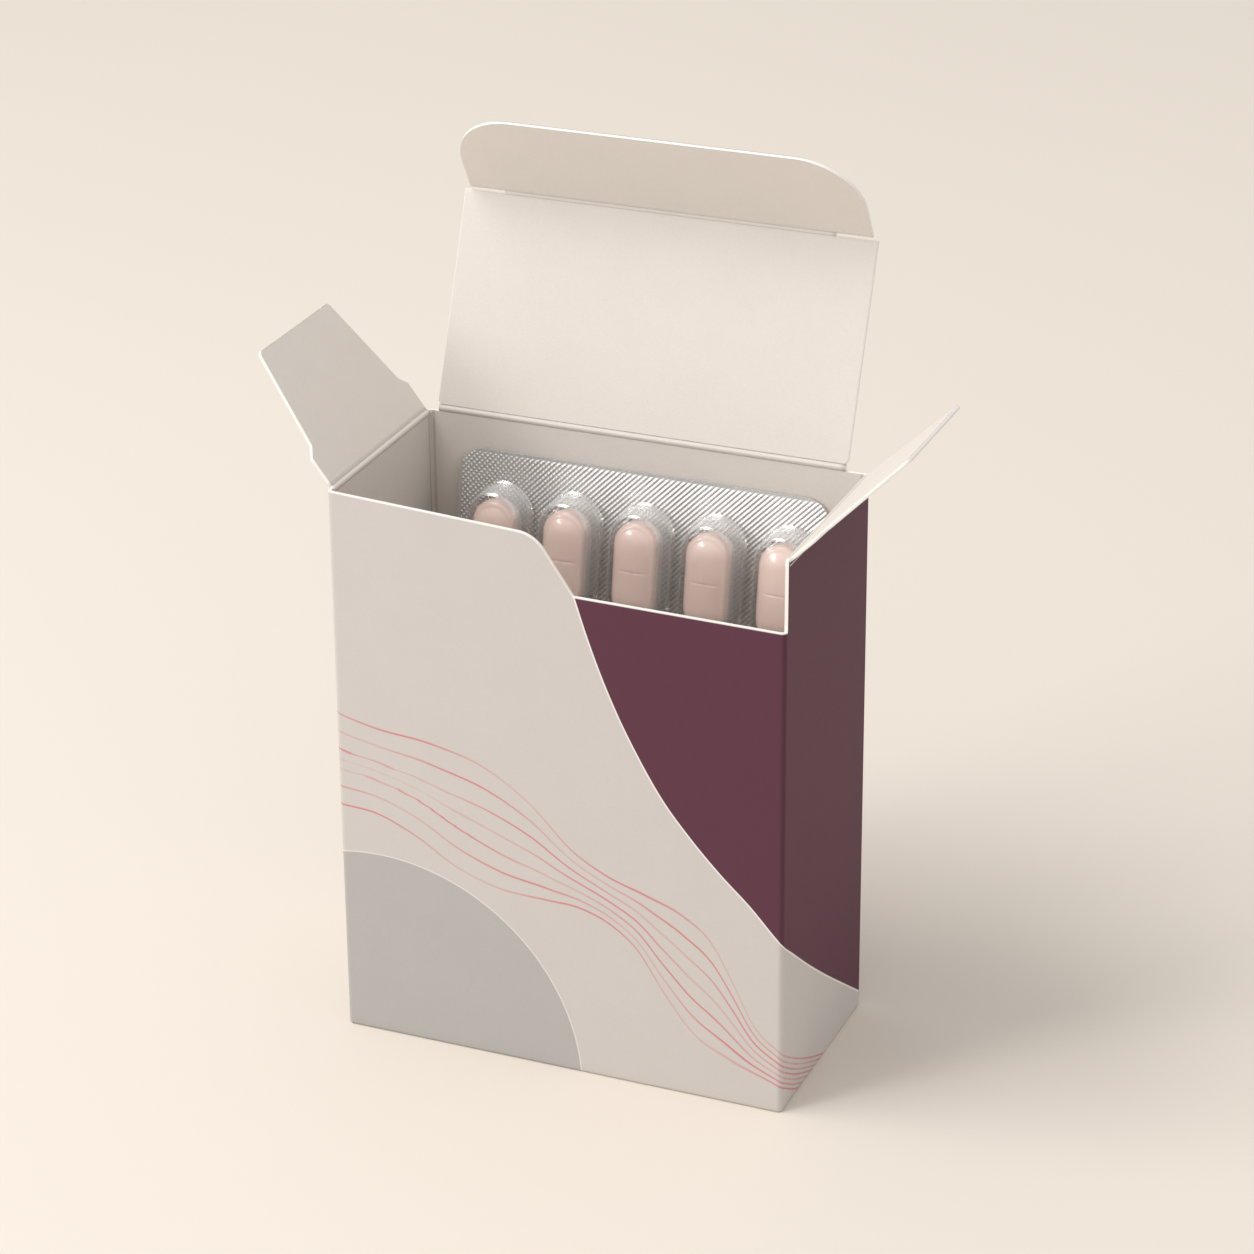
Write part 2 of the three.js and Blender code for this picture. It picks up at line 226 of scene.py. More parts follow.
class Shader:
    """A new material and the one method that adds its nodes."""

    def __init__(self, name):
        self.material = bpy.data.materials.new(name)
        self.material.use_nodes = True
        self.tree = self.material.node_tree
        self.tree.nodes.clear()

    def node(self, kind, settings=None, sockets=None):
        """A node of that type, with its settings first and then its sockets' values or links."""
        node = self.tree.nodes.new(kind)
        for name, value in (settings or {}).items():
            setattr(node, name, value)
        for name, value in (sockets or {}).items():
            if isinstance(value, Value):
                self.tree.links.new(value.socket, node.inputs[name])
            elif isinstance(value, bpy.types.NodeSocket):
                self.tree.links.new(value, node.inputs[name])
            else:
                node.inputs[name].default_value = value
        return node

    def attribute(self, name):
        """A number that the mesh carries at its points."""
        node = self.node("ShaderNodeAttribute", {"attribute_name": name})
        return Value(self, node.outputs["Fac"])

    def place(self):
        """The point in the piece's own coordinates, in metres."""
        return self.node("ShaderNodeTexCoord").outputs["Object"]

    def noise(self, vector, size_mm, detail):
        """Noise about 0.5 with grains of that size."""
        scale = (1 / (size_mm * MM),) * 3
        mapping = self.node("ShaderNodeMapping", None, {"Vector": vector, "Scale": scale})
        node = self.node("ShaderNodeTexNoise", None,
                         {"Vector": mapping.outputs[0], "Scale": 1.0, "Detail": detail})
        return Value(self, node.outputs["Fac"])

    def mix(self, factor, first, second):
        """The first colour where the factor is 0 and the second where it is 1."""
        colours = [(*c, 1.0) if isinstance(c, (tuple, list)) and len(c) == 3 else c
                   for c in (first, second)]
        node = self.node("ShaderNodeMix", {"data_type": "RGBA"},
                         {0: factor, 6: colours[0], 7: colours[1]})
        return node.outputs[2]

    def shade(self, colour, factor):
        """A colour made lighter or darker by a factor."""
        first = (*colour, 1.0) if isinstance(colour, (tuple, list)) else colour
        grey = self.node("ShaderNodeCombineXYZ", None, {0: factor, 1: factor, 2: factor})
        node = self.node("ShaderNodeMix", {"data_type": "RGBA", "blend_type": "MULTIPLY"},
                         {0: 1.0, 6: first, 7: grey.outputs[0]})
        return node.outputs[2]

    def bump(self, height, distance_mm):
        """A normal tilted by a height between 0 and 1, of that many millimetres."""
        node = self.node("ShaderNodeBump", None, {"Height": height, "Distance": distance_mm * MM})
        return node.outputs[0]

    def principled(self, **sockets):
        """The usual shader with the given sockets, whose names use spaces for underscores."""
        return self.node("ShaderNodeBsdfPrincipled", None,
                         {name.replace("_", " "): value for name, value in sockets.items()})

    def finish(self, shader):
        """Ends the material in that shader and returns it."""
        self.node("ShaderNodeOutputMaterial", None, {"Surface": shader.outputs[0]})
        return self.material


# Looks: sizes are millimetres, and a pair of numbers says where a ramp starts and where it ends
CLOUD_SIZE, FIBRE_SIZE, TOOTH_SIZE, TOOTH_HEIGHT = 9.0, 0.35, 0.24, 0.035
BOARD_TONE, CLOUD_TONE, FIBRE_TONE, FIBRE_GLOSS = 0.93, 0.05, 0.09, 0.12
PRINT_ROUGHNESS, INSIDE_ROUGHNESS = 0.62, 0.72
FIELD_EDGE = (-0.05, 0.05)
LINE_FADE, LINE_FAINT, LINE_INKED = (0.22, 0.1), 0.12, 0.78
BAND_START, BAND_END = (-0.4, -0.3), (6.4, 6.3)
PLUM_HAIRLINE, PLUM_HAIRLINE_FADE = -0.14, (0.2, 0.08)
DISC_HAIRLINE, DISC_HAIRLINE_FADE, DISC_HAIRLINE_SHARE = 0.1, (0.16, 0.06), 0.6
HAIRLINE_SHARE = 0.75
PALE_EDGE_FADE, PALE_EDGE_SHARE = (0.28, 0.1), 0.85
# How much painted shade darkens the board: the plum along the upright folds, and the plain board beside the
# creases' beads
FOLD_PAINTED_SHADE, GROOVE_PAINTED_SHADE = 0.2, 0.3
LAYER_SIZE, LAYER_HEIGHT, LAYER_DARKEST, LAYER_TONE = 0.2, 0.03, 0.94, 0.1
ONE_WAY_RUN, ONE_WAY_SHARE = (-31.0, -8.0), 0.75
FOIL_TONE, RIDGE_PAINTED_HIGHLIGHT, WRINKLE_TONE, WRINKLE_SIZE, RIDGE_BUMP = 0.66, 0.5, 0.1, 6.0, 1.6
CLEAR_COLOUR = (0.998, 0.998, 0.998, 1.0)
CAUGHT_FLAT, CAUGHT_EDGE_ON, CAUGHT_WALL, CAUGHT_BEND_HIGHLIGHT, CAUGHT_MOST = 0.015, 0.35, 0.28, 0.58, 0.9
WALL_LESS_METAL = 0.65
COAT_TONE, MOTTLE_TONE, SPECK_TONE = 0.95, 0.07, 0.03
MOTTLE_SIZE, SPECK_SIZE, SPECK_HEIGHT = 2.2, 0.25, 0.012


def grained(shader, colour, roughness):
    """Board: the colour with faint clouds and fibres, a fine tooth in its normal, and a soft gloss."""
    place = shader.place()
    clouds = shader.noise(place, CLOUD_SIZE, 3.0)
    fibres = shader.noise(place, FIBRE_SIZE, 4.0)
    tooth = shader.noise(place, TOOTH_SIZE, 3.0)
    return shader.principled(
        Base_Color=shader.shade(colour, BOARD_TONE + CLOUD_TONE * clouds + FIBRE_TONE * fibres),
        Roughness=roughness + FIBRE_GLOSS * (fibres - 0.5), Specular_IOR_Level=0.35,
        Normal=shader.bump(tooth, TOOTH_HEIGHT))


def printed_board(colours):
    """Print on the outer side: fields and lines read from the distances that the mesh carries, with painted
    shade darkening the plum along the upright folds.
    """
    shader = Shader("carton_print")
    plum, disc, phase, gap, ink, edge, fold = (shader.attribute(name) for name in (
        "plum_mm", "disc_mm", "wave_phase", "wave_gap_mm", "wave_ink", "edge_mm", "fold"))
    in_plum = plum.ramp(*FIELD_EDGE)
    off_line = abs((phase + 0.5).fraction() - 0.5) * gap
    in_band = phase.ramp(*BAND_START) * phase.ramp(*BAND_END)
    line = off_line.ramp(*LINE_FADE) * in_band * (LINE_FAINT + LINE_INKED * ink)
    hairline = abs(plum - PLUM_HAIRLINE).ramp(*PLUM_HAIRLINE_FADE).at_least(
        abs(disc - DISC_HAIRLINE).ramp(*DISC_HAIRLINE_FADE) * DISC_HAIRLINE_SHARE)
    layers = ((1 - disc.ramp(*FIELD_EDGE), colours.grey), (line, colours.pink), (in_plum, colours.plum),
              (hairline * HAIRLINE_SHARE, colours.cut),
              (edge.ramp(*PALE_EDGE_FADE) * PALE_EDGE_SHARE, colours.cut))
    colour = tuple(colours.cream)
    for share, tint in layers:
        colour = shader.mix(share, colour, tuple(tint))
    # Painted shade: the plum is painted darker along the upright folds
    colour = shader.shade(colour, 1 - FOLD_PAINTED_SHADE * fold * in_plum)
    return shader.finish(grained(shader, colour, PRINT_ROUGHNESS))


def plain_board(name, colour):
    """Board in one colour, with painted shade darkening it beside the creases' beads."""
    shader = Shader(name)
    # Painted shade: darker where the mesh's groove number is high
    tinted = shader.shade(tuple(colour), 1 - GROOVE_PAINTED_SHADE * shader.attribute("groove"))
    return shader.finish(grained(shader, tinted, INSIDE_ROUGHNESS))


def cut_board(colours):
    """The board's cut edge, with faint layers."""
    shader = Shader("carton_cut")
    layers = shader.noise(shader.place(), LAYER_SIZE, 3.0)
    return shader.finish(shader.principled(
        Base_Color=shader.shade(tuple(colours.cut), LAYER_DARKEST + LAYER_TONE * layers),
        Roughness=0.8, Specular_IOR_Level=0.2, Normal=shader.bump(layers, LAYER_HEIGHT)))


def knurl(across, along, one_way, pitch, sine):
    """The foil's seal pattern, between 0 and 1.

    Ridges along one diagonal are cut by ridges along the other, less so where they run one way.
    It takes arrays or shader values, with the sine that suits them.
    """
    wave = math.sqrt(0.5) * 2 * math.pi / pitch
    first = sine((across + along) * wave) * 0.5 + 0.5
    second = sine((across - along) * wave) * 0.5 + 0.5
    return second * (first + one_way * (1 - first))


def knurled_foil(settings):
    """Lidding foil: bright metal with the seal pattern, its ridges painted lighter as a painted highlight,
    and slight wrinkles.
    """
    shader = Shader("blister_foil")
    across, along, seal = (shader.attribute(name) for name in ("sheet_x_mm", "sheet_y_mm", "seal"))
    one_way = across.ramp(*ONE_WAY_RUN) * ONE_WAY_SHARE
    relief = knurl(across, along, one_way, settings.knurl_pitch / MM, Value.sine) * seal
    wrinkle = shader.noise(shader.place(), WRINKLE_SIZE, 2.0)
    # Painted highlight: the seal pattern's ridges are painted lighter than the hollows between them
    colour = shader.shade(tuple(settings.foil), FOIL_TONE + RIDGE_PAINTED_HIGHLIGHT * relief + WRINKLE_TONE * wrinkle)
    return shader.finish(shader.principled(
        Base_Color=colour, Metallic=0.6, Roughness=0.3 + 0.1 * wrinkle,
        Normal=shader.bump(relief, settings.knurl_height / MM * RIDGE_BUMP)))


def clear_film(settings):
    """Clear formed film: see-through, with mirror-like reflections that grow where it is seen
    edge-on and on its drawn side walls, and stronger reflections where its profile turns sharply, pushed up
    there as painted highlight lines."""
    shader = Shader("blister_film")
    facing = Value(shader, shader.node("ShaderNodeLayerWeight", None, {"Blend": 0.5}).outputs["Facing"])
    wall, bend_highlight = shader.attribute("wall"), shader.attribute("bend_highlight")
    gloss = shader.principled(Base_Color=(*settings.film, 1.0), Metallic=1 - WALL_LESS_METAL * wall,
                              Roughness=0.08)
    clear = shader.node("ShaderNodeBsdfTransparent", None, {"Color": CLEAR_COLOUR})
    # Painted highlight lines: the film reflects more at chosen sharp turns of its profile
    caught = CAUGHT_FLAT + CAUGHT_EDGE_ON * facing ** 3.0 + CAUGHT_WALL * wall + CAUGHT_BEND_HIGHLIGHT * bend_highlight
    return shader.finish(shader.node("ShaderNodeMixShader", None, {
        0: caught.at_most(CAUGHT_MOST), 1: clear.outputs[0], 2: gloss.outputs[0]}))


def tablet_coat(settings):
    """Coated tablet: a pale satin coat with a faint mottle and orange-peel."""
    shader = Shader("tablet_finish")
    place = shader.place()
    mottle = shader.noise(place, MOTTLE_SIZE, 3.0)
    speck = shader.noise(place, SPECK_SIZE, 2.0)
    tone = COAT_TONE + MOTTLE_TONE * mottle + SPECK_TONE * speck
    return shader.finish(shader.principled(
        Base_Color=shader.shade(tuple(settings.tablet), tone), Roughness=0.3 + 0.1 * mottle,
        Specular_IOR_Level=0.5, Coat_Weight=0.8, Coat_Roughness=0.1,
        Normal=shader.bump(speck, SPECK_HEIGHT)))


# Mesh helpers
class Surface(NamedTuple):
    """Points in millimetres and faces, each face's material number, and numbers at the points"""

    points: np.ndarray
    quads: np.ndarray
    looks: np.ndarray = None
    numbers: dict = None


def new_piece(name, surface, materials, matrix=None, smooth=True):
    """A mesh piece from a surface, carried by a matrix whose lengths are millimetres."""
    points = surface.points if matrix is None else placed(surface.points, matrix)
    mesh = bpy.data.meshes.new(name)
    mesh.from_pydata((points * MM).tolist(), [], surface.quads.tolist())
    for material in materials:
        mesh.materials.append(material)
    if surface.looks is not None:
        mesh.polygons.foreach_set("material_index", surface.looks.astype(np.int32))
    for key, values in (surface.numbers or {}).items():
        layer = mesh.attributes.new(key, "FLOAT", "POINT")
        layer.data.foreach_set("value", values.astype(np.float32).ravel())
    mesh.polygons.foreach_set("use_smooth", np.full(len(mesh.polygons), smooth))
    mesh.validate()
    mesh.update()
    piece = bpy.data.objects.new(name, mesh)
    bpy.context.scene.collection.objects.link(piece)
    return piece


DOUBLES_WITHIN = 0.0005 * MM


def merge_doubles(piece):
    """Joins a piece's points that lie on each other and drops faces without area."""
    work = bmesh.new()
    work.from_mesh(piece.data)
    bmesh.ops.remove_doubles(work, verts=work.verts, dist=DOUBLES_WITHIN)
    bmesh.ops.dissolve_degenerate(work, edges=work.edges, dist=DOUBLES_WITHIN)
    work.to_mesh(piece.data)
    work.free()


def one_back_face(piece, count):
    """Joins a flat panel's back, which is its second run of that many faces, into one face."""
    work = bmesh.new()
    work.from_mesh(piece.data)
    work.faces.ensure_lookup_table()
    bmesh.ops.dissolve_faces(work, faces=work.faces[count:2 * count], use_verts=True)
    work.to_mesh(piece.data)
    work.free()


def grid_quads(rows, columns, closed_rows=False, closed_columns=False):
    """Faces of a grid of points numbered row by row, joined end to end where it is closed."""
    r = np.arange(rows if closed_rows else rows - 1)[:, None]
    c = np.arange(columns if closed_columns else columns - 1)[None, :]
    r2 = (r + 1) % rows
    c2 = (c + 1) % columns
    quads = np.stack(np.broadcast_arrays(r * columns + c, r * columns + c2,
                                         r2 * columns + c2, r2 * columns + c), -1)
    return quads.reshape(-1, 4)


def smoothstep(t):
    """Rises from 0 to 1 with level ends."""
    t = np.clip(t, 0, 1)
    return t * t * (3 - 2 * t)


def smooth_curve(places, heights, x):
    """Cubic Hermite curve through the points, each slope being that between its neighbours."""
    places, heights = np.asarray(places, float), np.asarray(heights, float)
    slopes = np.gradient(heights, places)
    x = np.asarray(x, float)
    i = np.clip(np.searchsorted(places, x) - 1, 0, len(places) - 2)
    h = places[i + 1] - places[i]
    t = (x - places[i]) / h
    inside = ((2 * t ** 3 - 3 * t ** 2 + 1) * heights[i] + (t ** 3 - 2 * t ** 2 + t) * h * slopes[i]
              + (3 * t ** 2 - 2 * t ** 3) * heights[i + 1] + (t ** 3 - t ** 2) * h * slopes[i + 1])
    low = heights[0] + (x - places[0]) * slopes[0]
    high = heights[-1] + (x - places[-1]) * slopes[-1]
    return np.where(x < places[0], low, np.where(x > places[-1], high, inside))


# The print, on the sheet unfolded from the carton's left front fold: along is the distance
# to the right of that fold, and up is the height, both in millimetres
PLUM_EDGE = ((43.9, 88.0), (45.5, 83.0), (48.1, 75.8), (51.0, 69.0), (55.0, 61.2), (58.8, 54.9),
             (63.7, 48.7), (68.9, 43.1), (74.4, 37.9), (79.6, 32.3), (85.0, 27.9), (92.0, 22.3),
             (100.6, 15.8), (110.9, 8.4), (119.5, 2.3))
WAVE_TOP = ((-20.0, 68.0), (-8.0, 63.4), (0.0, 60.0), (7.0, 58.3), (17.3, 57.2), (27.9, 54.2),
            (35.2, 49.4), (42.9, 42.0), (48.5, 38.8), (56.0, 36.3), (62.5, 33.8), (67.5, 29.8),
            (71.4, 22.9), (74.6, 16.4), (80.0, 11.4), (85.0, 8.0), (94.0, 3.1), (104.0, -1.0))
WAVE_BOTTOM = ((-20.0, 46.5), (-8.0, 44.0), (0.0, 42.8), (7.0, 42.2), (14.0, 39.4), (22.0, 34.7),
               (29.4, 32.4), (38.0, 31.9), (44.0, 31.6), (50.0, 29.3), (54.3, 25.8), (59.0, 18.7),
               (64.0, 12.3), (71.0, 8.3), (80.0, 4.9), (86.5, 1.2), (94.0, -1.8), (104.0, -5.0))
# Shares of the band's height at which the lines run, at the left fold and after the spread. The
# fourth line starts there, and fades out to the left.
LINES_LEFT = (0.0, 0.2, 0.4, 0.5, 0.6, 0.8, 1.0)
LINES_RIGHT = (0.0, 0.15, 0.31, 0.48, 0.65, 0.82, 1.0)
LINES_SPREAD = (10.0, 34.0)
LINES_BRANCH = 3
DISC_CENTRE = (7.0, -2.6)
DISC_RADIUS = 36.9

# The distance beyond which a field's edge makes no difference, and the largest line count
FAR, MOST_LINES = 5.0, 12
PLUM_STARTS, BACK_OVERLAP, SLOPE_STEP = 40.0, 0.3, 0.25
INK_MEAN, INK_SWING, INK_RUN, INK_SHIFT, INK_START = 0.66, 0.34, 6.5, 1.9, 0.9
BRANCH_LAG, BRANCH_RUN = 6.0, 9.0


def curve_and_slope(points, along):
    """A curve's height and slope at those distances."""
    places, heights = zip(*points)
    here = smooth_curve(places, heights, along)
    return here, (smooth_curve(places, heights, along + SLOPE_STEP) - here) / SLOPE_STEP


def plum_distance(along, up):
    """Distance above the plum edge: the height above its curve divided by the root of one plus the
    squared slope. The back panel is all plum, and left of the curve's start there is none."""
    edge, slope = curve_and_slope(PLUM_EDGE, along)
    plum = (up - edge) / np.sqrt(1 + slope ** 2)
    past_fold = along - (WIDTH + DEPTH)
    plum = np.where(past_fold > 0, np.minimum(past_fold + BACK_OVERLAP, FAR), plum)
    return np.where(along < PLUM_STARTS, -FAR, np.clip(plum, -FAR, FAR))


def wave_lines(along, up):
    """The line count from the lowest curve to the highest, the lines' gap, and their ink.

    The count follows shares of the band's height that change from the left's to the right's. The
    gap is measured across the lines. The ink swells and fades along each line as a sine with a
    shift of its own, and the branch's ink starts where the lines spread.
    """
    high, high_slope = curve_and_slope(WAVE_TOP, along)
    low, low_slope = curve_and_slope(WAVE_BOTTOM, along)
    share = (up - low) / (high - low)
    start, end = LINES_SPREAD
    spread = smoothstep((along - start) / (end - start))
    places = [left + (right - left) * spread for left, right in zip(LINES_LEFT, LINES_RIGHT)]
    phase, gap = share / places[1], places[1] * (high - low)
    for k, (here, after) in enumerate(zip(places[1:], places[2:]), 1):
        above = share > here
        phase = np.where(above, k + (share - here) / (after - here), phase)
        gap = np.where(above, (after - here) * (high - low), gap)
    phase = np.where((along > WIDTH + DEPTH - 1) | (along < -DEPTH), -FAR, phase)
    line = np.round(np.clip(phase, 0, len(places) - 1))
    ink = INK_MEAN + INK_SWING * np.sin(along / INK_RUN + INK_SHIFT * line + INK_START)
    branch = smoothstep((along - start - BRANCH_LAG) / BRANCH_RUN)
    ink = np.where(line == LINES_BRANCH, ink * branch, ink)
    slope = (high_slope + low_slope) / 2
    return np.clip(phase, -FAR, MOST_LINES), gap / np.sqrt(1 + slope ** 2), ink


def print_numbers(along, up):
    """The print's fields at points of the unfolded sheet, whose left panel is left of the front.

    plum_mm is the distance above the plum edge, disc_mm the distance outside the disc,
    wave_phase the line count, wave_gap_mm the lines' gap and wave_ink their strength.
    """
    along = np.where(along > 2 * WIDTH + DEPTH, along - 2 * (WIDTH + DEPTH), along)
    phase, gap, ink = wave_lines(along, up)
    disc = np.hypot(along - DISC_CENTRE[0], up - DISC_CENTRE[1]) - DISC_RADIUS
    return {"plum_mm": plum_distance(along, up), "disc_mm": disc, "wave_phase": phase,
            "wave_gap_mm": gap, "wave_ink": ink}


# The front panel's cut top: distances along from the left front fold and heights
CUT_LEFT_TOP = 100.0
CUT_KNEE = (36.8, 98.15)
CUT_LOW_START = (43.55, 88.3)
CUT_LOW_END = 87.9
CUT_KNEE_RADIUS = 6.0

# The walls' outline, going round from the left front fold
CORNERS = np.array([0, WIDTH, WIDTH + DEPTH, 2 * WIDTH + DEPTH])
ROUND = 2 * (WIDTH + DEPTH)
LOW_SLOPE = (CUT_LOW_END - CUT_LOW_START[1]) / (WIDTH - CUT_LOW_START[0])
RAMP = 0.16
# Where the dust flaps' creases start and end, counted back from the front fold
POST_CLEAR = 0.2
FLAP_FRONT = DUST_LOW[1] - POST_CLEAR + DEPTH / 2
FLAP_BACK = DUST_HIGH[1] + POST_CLEAR + DEPTH / 2
# The first station after each fold and the spacing, for the front, right, back and left wall
WALL_SPACING = ((1.8, 0.6), (1.8, 1.0), (2.0, 1.5), (2.0, 1.0))
WALL_END, SIDE_MARGIN = 1.5, 0.5
FOLD_STATIONS = np.linspace(-1, 1, 13)
STEP_STATIONS = np.linspace(-0.6, 0.6, 7) * RAMP
RISE_STATIONS = np.linspace(0, 1, 6) * RAMP
BEAD_STATIONS = np.array([-1.6, -1.35, -1.15, 1.15, 1.35, 1.6])
KNEE_STATIONS = np.arange(32.5, 41, 0.2)
LEAST_STEP = 0.008
# The walls' section: rows between the base's fold and the cut, and heights under the cut
WALL_ROWS, FOLD_ROWS = 84, 6
NEAR_TOP = np.array([1.2, 0.7, 0.4, 0.22, 0.1])
CUT_BEVEL, BEVEL_STEPS = 0.07, np.array([1.0, 0.3, 0.0])
BASE_FOLD_SHARE, BEAD_FADE = 0.6, 0.5
# Where painted shade lies: its distance from a fold and its width beside the beads, and its width along the
# upright folds
GROOVE_SHADE_OFF, GROOVE_SHADE_WIDTH, FOLD_SHADE_WIDTH = 1.25, 0.2, 0.42


def front_top(along):
    """The front panel's top: a gentle fall to a rounded knee, a steep fall, and the low edge.

    The knee is an arc that touches both falls. It starts before their meeting point by its
    radius times the tangent of half the turn, and its centre is one radius under the gentle fall.
    """
    gentle = (CUT_KNEE[1] - CUT_LEFT_TOP) / CUT_KNEE[0]
    steep = (CUT_LOW_START[1] - CUT_KNEE[1]) / (CUT_LOW_START[0] - CUT_KNEE[0])
    start, end = math.atan(gentle), math.atan(steep)
    first = CUT_KNEE[0] - CUT_KNEE_RADIUS * math.tan((start - end) / 2) * math.cos(start)
    centre_x = first + CUT_KNEE_RADIUS * math.sin(start)
    centre_z = CUT_LEFT_TOP + gentle * first - CUT_KNEE_RADIUS * math.cos(start)
    last = centre_x - CUT_KNEE_RADIUS * math.sin(end)
    arc = centre_z + np.sqrt(np.maximum(CUT_KNEE_RADIUS ** 2 - (along - centre_x) ** 2, 0))
    falls = np.where(along < first, CUT_LEFT_TOP + gentle * along,
                     np.where(along < last, arc, CUT_KNEE[1] + steep * (along - CUT_KNEE[0])))
    return np.maximum(falls, CUT_LOW_START[1] + LOW_SLOPE * (along - CUT_LOW_START[0]))


def wall_tops(along, corner, gap):
    """Height of the walls' top edge, going round from the left front fold.

    Each side wall stops at its flap's crease between two small corner posts, and the back wall
    at the lid's crease. Past the right front fold the edge rises from the front's low edge.
    """
    back_top, side_top = LID_AXIS[2] - gap, DUST_AXIS_Z - gap
    heights = np.where(along < WIDTH, front_top(along), back_top)
    for run in (along - WIDTH, ROUND - along):
        on_side = (run > -SIDE_MARGIN) & (run < DEPTH + SIDE_MARGIN) & (along > WIDTH)
        before = smoothstep((run - FLAP_FRONT) / RAMP + 0.5)
        beyond = smoothstep((run - FLAP_BACK) / RAMP + 0.5)
        post = 1 - before * (1 - beyond)
        heights = np.where(on_side, side_top + (back_top - side_top) * post, heights)
    rise = smoothstep((along - WIDTH - corner) / RAMP)
    near_corner = (along >= WIDTH) & (along < WIDTH + corner + RAMP)
    return np.where(near_corner, CUT_LOW_END + (heights - CUT_LOW_END) * rise, heights)


def ring_stations(radius):
    """Distances round the walls: close together at the folds, the cut's steps and its knee."""
    parts = [np.arange(corner + first, end - WALL_END, step)
             for corner, end, (first, step) in zip(CORNERS, [*CORNERS[1:], ROUND], WALL_SPACING)]
    parts += [KNEE_STATIONS, [CUT_LOW_START[0]], WIDTH + radius + RISE_STATIONS]
    for corner in CORNERS:
        parts += [corner + FOLD_STATIONS * radius, corner + BEAD_STATIONS]
    for step in (WIDTH + FLAP_FRONT, WIDTH + FLAP_BACK, ROUND - FLAP_FRONT, ROUND - FLAP_BACK):
        parts.append(step + STEP_STATIONS)
    stations = np.unique(np.round(np.concatenate(parts) % ROUND, 4))
    return stations[np.concatenate([[True], np.diff(stations) > LEAST_STEP])]


def ring_frame(along, radius):
    """Outline point and outward direction of the walls at each distance round them.

    Straight stretches join quarter circles, and a fold's arc takes the distance from one radius
    before its corner to one radius after it.
    """
    lengths = np.array([WIDTH, DEPTH, WIDTH, DEPTH])
    starts = np.concatenate([[0], np.cumsum(lengths)])
    corners = np.array([[-1, -1], [1, -1], [1, 1], [-1, 1]]) * [WIDTH / 2, DEPTH / 2]
    runs = np.array([[1, 0], [0, 1], [-1, 0], [0, -1]])
    wall = np.clip(np.searchsorted(starts, along, side="right") - 1, 0, 3)
    here = along - starts[wall]
    left = lengths[wall] - here
    point = corners[wall] + runs[wall] * here[:, None]
    outward = np.stack([runs[wall][:, 1], -runs[wall][:, 0]], 1).astype(float)
    angle = np.where(here < radius, -(1 - here / radius), np.where(left < radius, 1 - left / radius, 0))
    turn = angle * math.pi / 4
    flat = np.abs(angle) > 0
    corner = np.where(angle < 0, wall, (wall + 1) % 4)
    signs = np.sign(corners)[corner]
    centre = corners[corner] - signs * radius
    cos, sin = np.cos(turn), np.sin(turn)
    turned = np.stack([outward[:, 0] * cos - outward[:, 1] * sin,
                       outward[:, 0] * sin + outward[:, 1] * cos], 1)
    point = np.where(flat[:, None], centre + turned * radius, point)
    return point, np.where(flat[:, None], turned, outward)


def wall_section(tops, board, radius):
    """Heights and depths of a wall's closed section at each station, and its outer side's rows.

    It runs up the outer side from the base's fold, over a slightly rounded cut edge, and down
    the inner side. Depths are measured inwards from the outer side.
    """
    fold = np.linspace(0, math.pi / 2, FOLD_ROWS)
    base_radius = BASE_FOLD_SHARE * radius
    low_z = np.broadcast_to(base_radius * (1 - np.cos(fold)), (len(tops), FOLD_ROWS))
    tops = tops[:, None]
    body = base_radius + np.linspace(0, 1, WALL_ROWS)[1:] * (tops - NEAR_TOP[0] - base_radius)
    outer_z = np.hstack([low_z, body, tops - NEAR_TOP[1:], tops - CUT_BEVEL * BEVEL_STEPS])
    inner_z = np.hstack([tops - CUT_BEVEL * BEVEL_STEPS[::-1], tops - NEAR_TOP[:0:-1],
                         body[:, ::-1], np.full_like(tops, board)])
    outer_in, inner_in = np.zeros_like(outer_z), np.full_like(inner_z, board)
    outer_in[:, :FOLD_ROWS] = base_radius * (1 - np.sin(fold))
    outer_in[:, -3:] = CUT_BEVEL * BEVEL_STEPS[::-1]
    inner_in[:, :3] = board - CUT_BEVEL * BEVEL_STEPS
    return np.hstack([outer_z, inner_z]), np.hstack([outer_in, inner_in]), outer_z.shape[1]


def wall_surface(settings):
    """The four walls as one folded ring with real board thickness.

    The inner side bulges into a bead at each upright fold: a bell over the distance from the
    fold, which fades out just under the cut edge.
    """
    board, radius = settings.board / MM, settings.fold_radius / MM
    along = ring_stations(radius)
    point, outward = ring_frame(along, radius)
    tops = wall_tops(along, radius, settings.crease_gap / MM)
    height, depth, outer_rows = wall_section(tops, board, radius)
    below = tops[:, None] - height
    off_fold = np.abs(along[:, None] - [*CORNERS, ROUND]).min(1)[:, None]
    bead = settings.bead / MM * np.exp(-(off_fold / (settings.bead_width / MM)) ** 2)
    depth[:, outer_rows + 2:] += bead * smoothstep(below[:, outer_rows + 2:] / BEAD_FADE)
    xy = point[:, None, :] - outward[:, None, :] * depth[:, :, None]
    points = np.concatenate([xy, height[:, :, None]], 2).reshape(-1, 3)
    rows = height.shape[1]
    quads = grid_quads(len(along), rows, closed_rows=True, closed_columns=True)
    row = np.tile(np.arange(rows), len(along))
    on_cut = ((row >= outer_rows - 2) & (row <= outer_rows)) | (row == rows - 1)
    looks = np.where(on_cut, 2, np.where(row < outer_rows, 0, 1))
    numbers = print_numbers(np.broadcast_to(along[:, None], height.shape), height)
    numbers["edge_mm"] = below
    # Painted shade beside the beads of the upright folds, which the plain board uses to darken
    groove = np.exp(-((off_fold - GROOVE_SHADE_OFF) / GROOVE_SHADE_WIDTH) ** 2)
    numbers["groove"] = np.broadcast_to(groove, height.shape)
    # Painted shade along the upright folds, which the print uses to darken the plum
    numbers["fold"] = np.broadcast_to(np.exp(-(off_fold / FOLD_SHADE_WIDTH) ** 2), height.shape)
    return Surface(points, quads[:, ::-1], looks, numbers)


# Flaps and creases
PANEL_EDGE_SHARES = [0.004, 0.012, 0.988, 0.996]


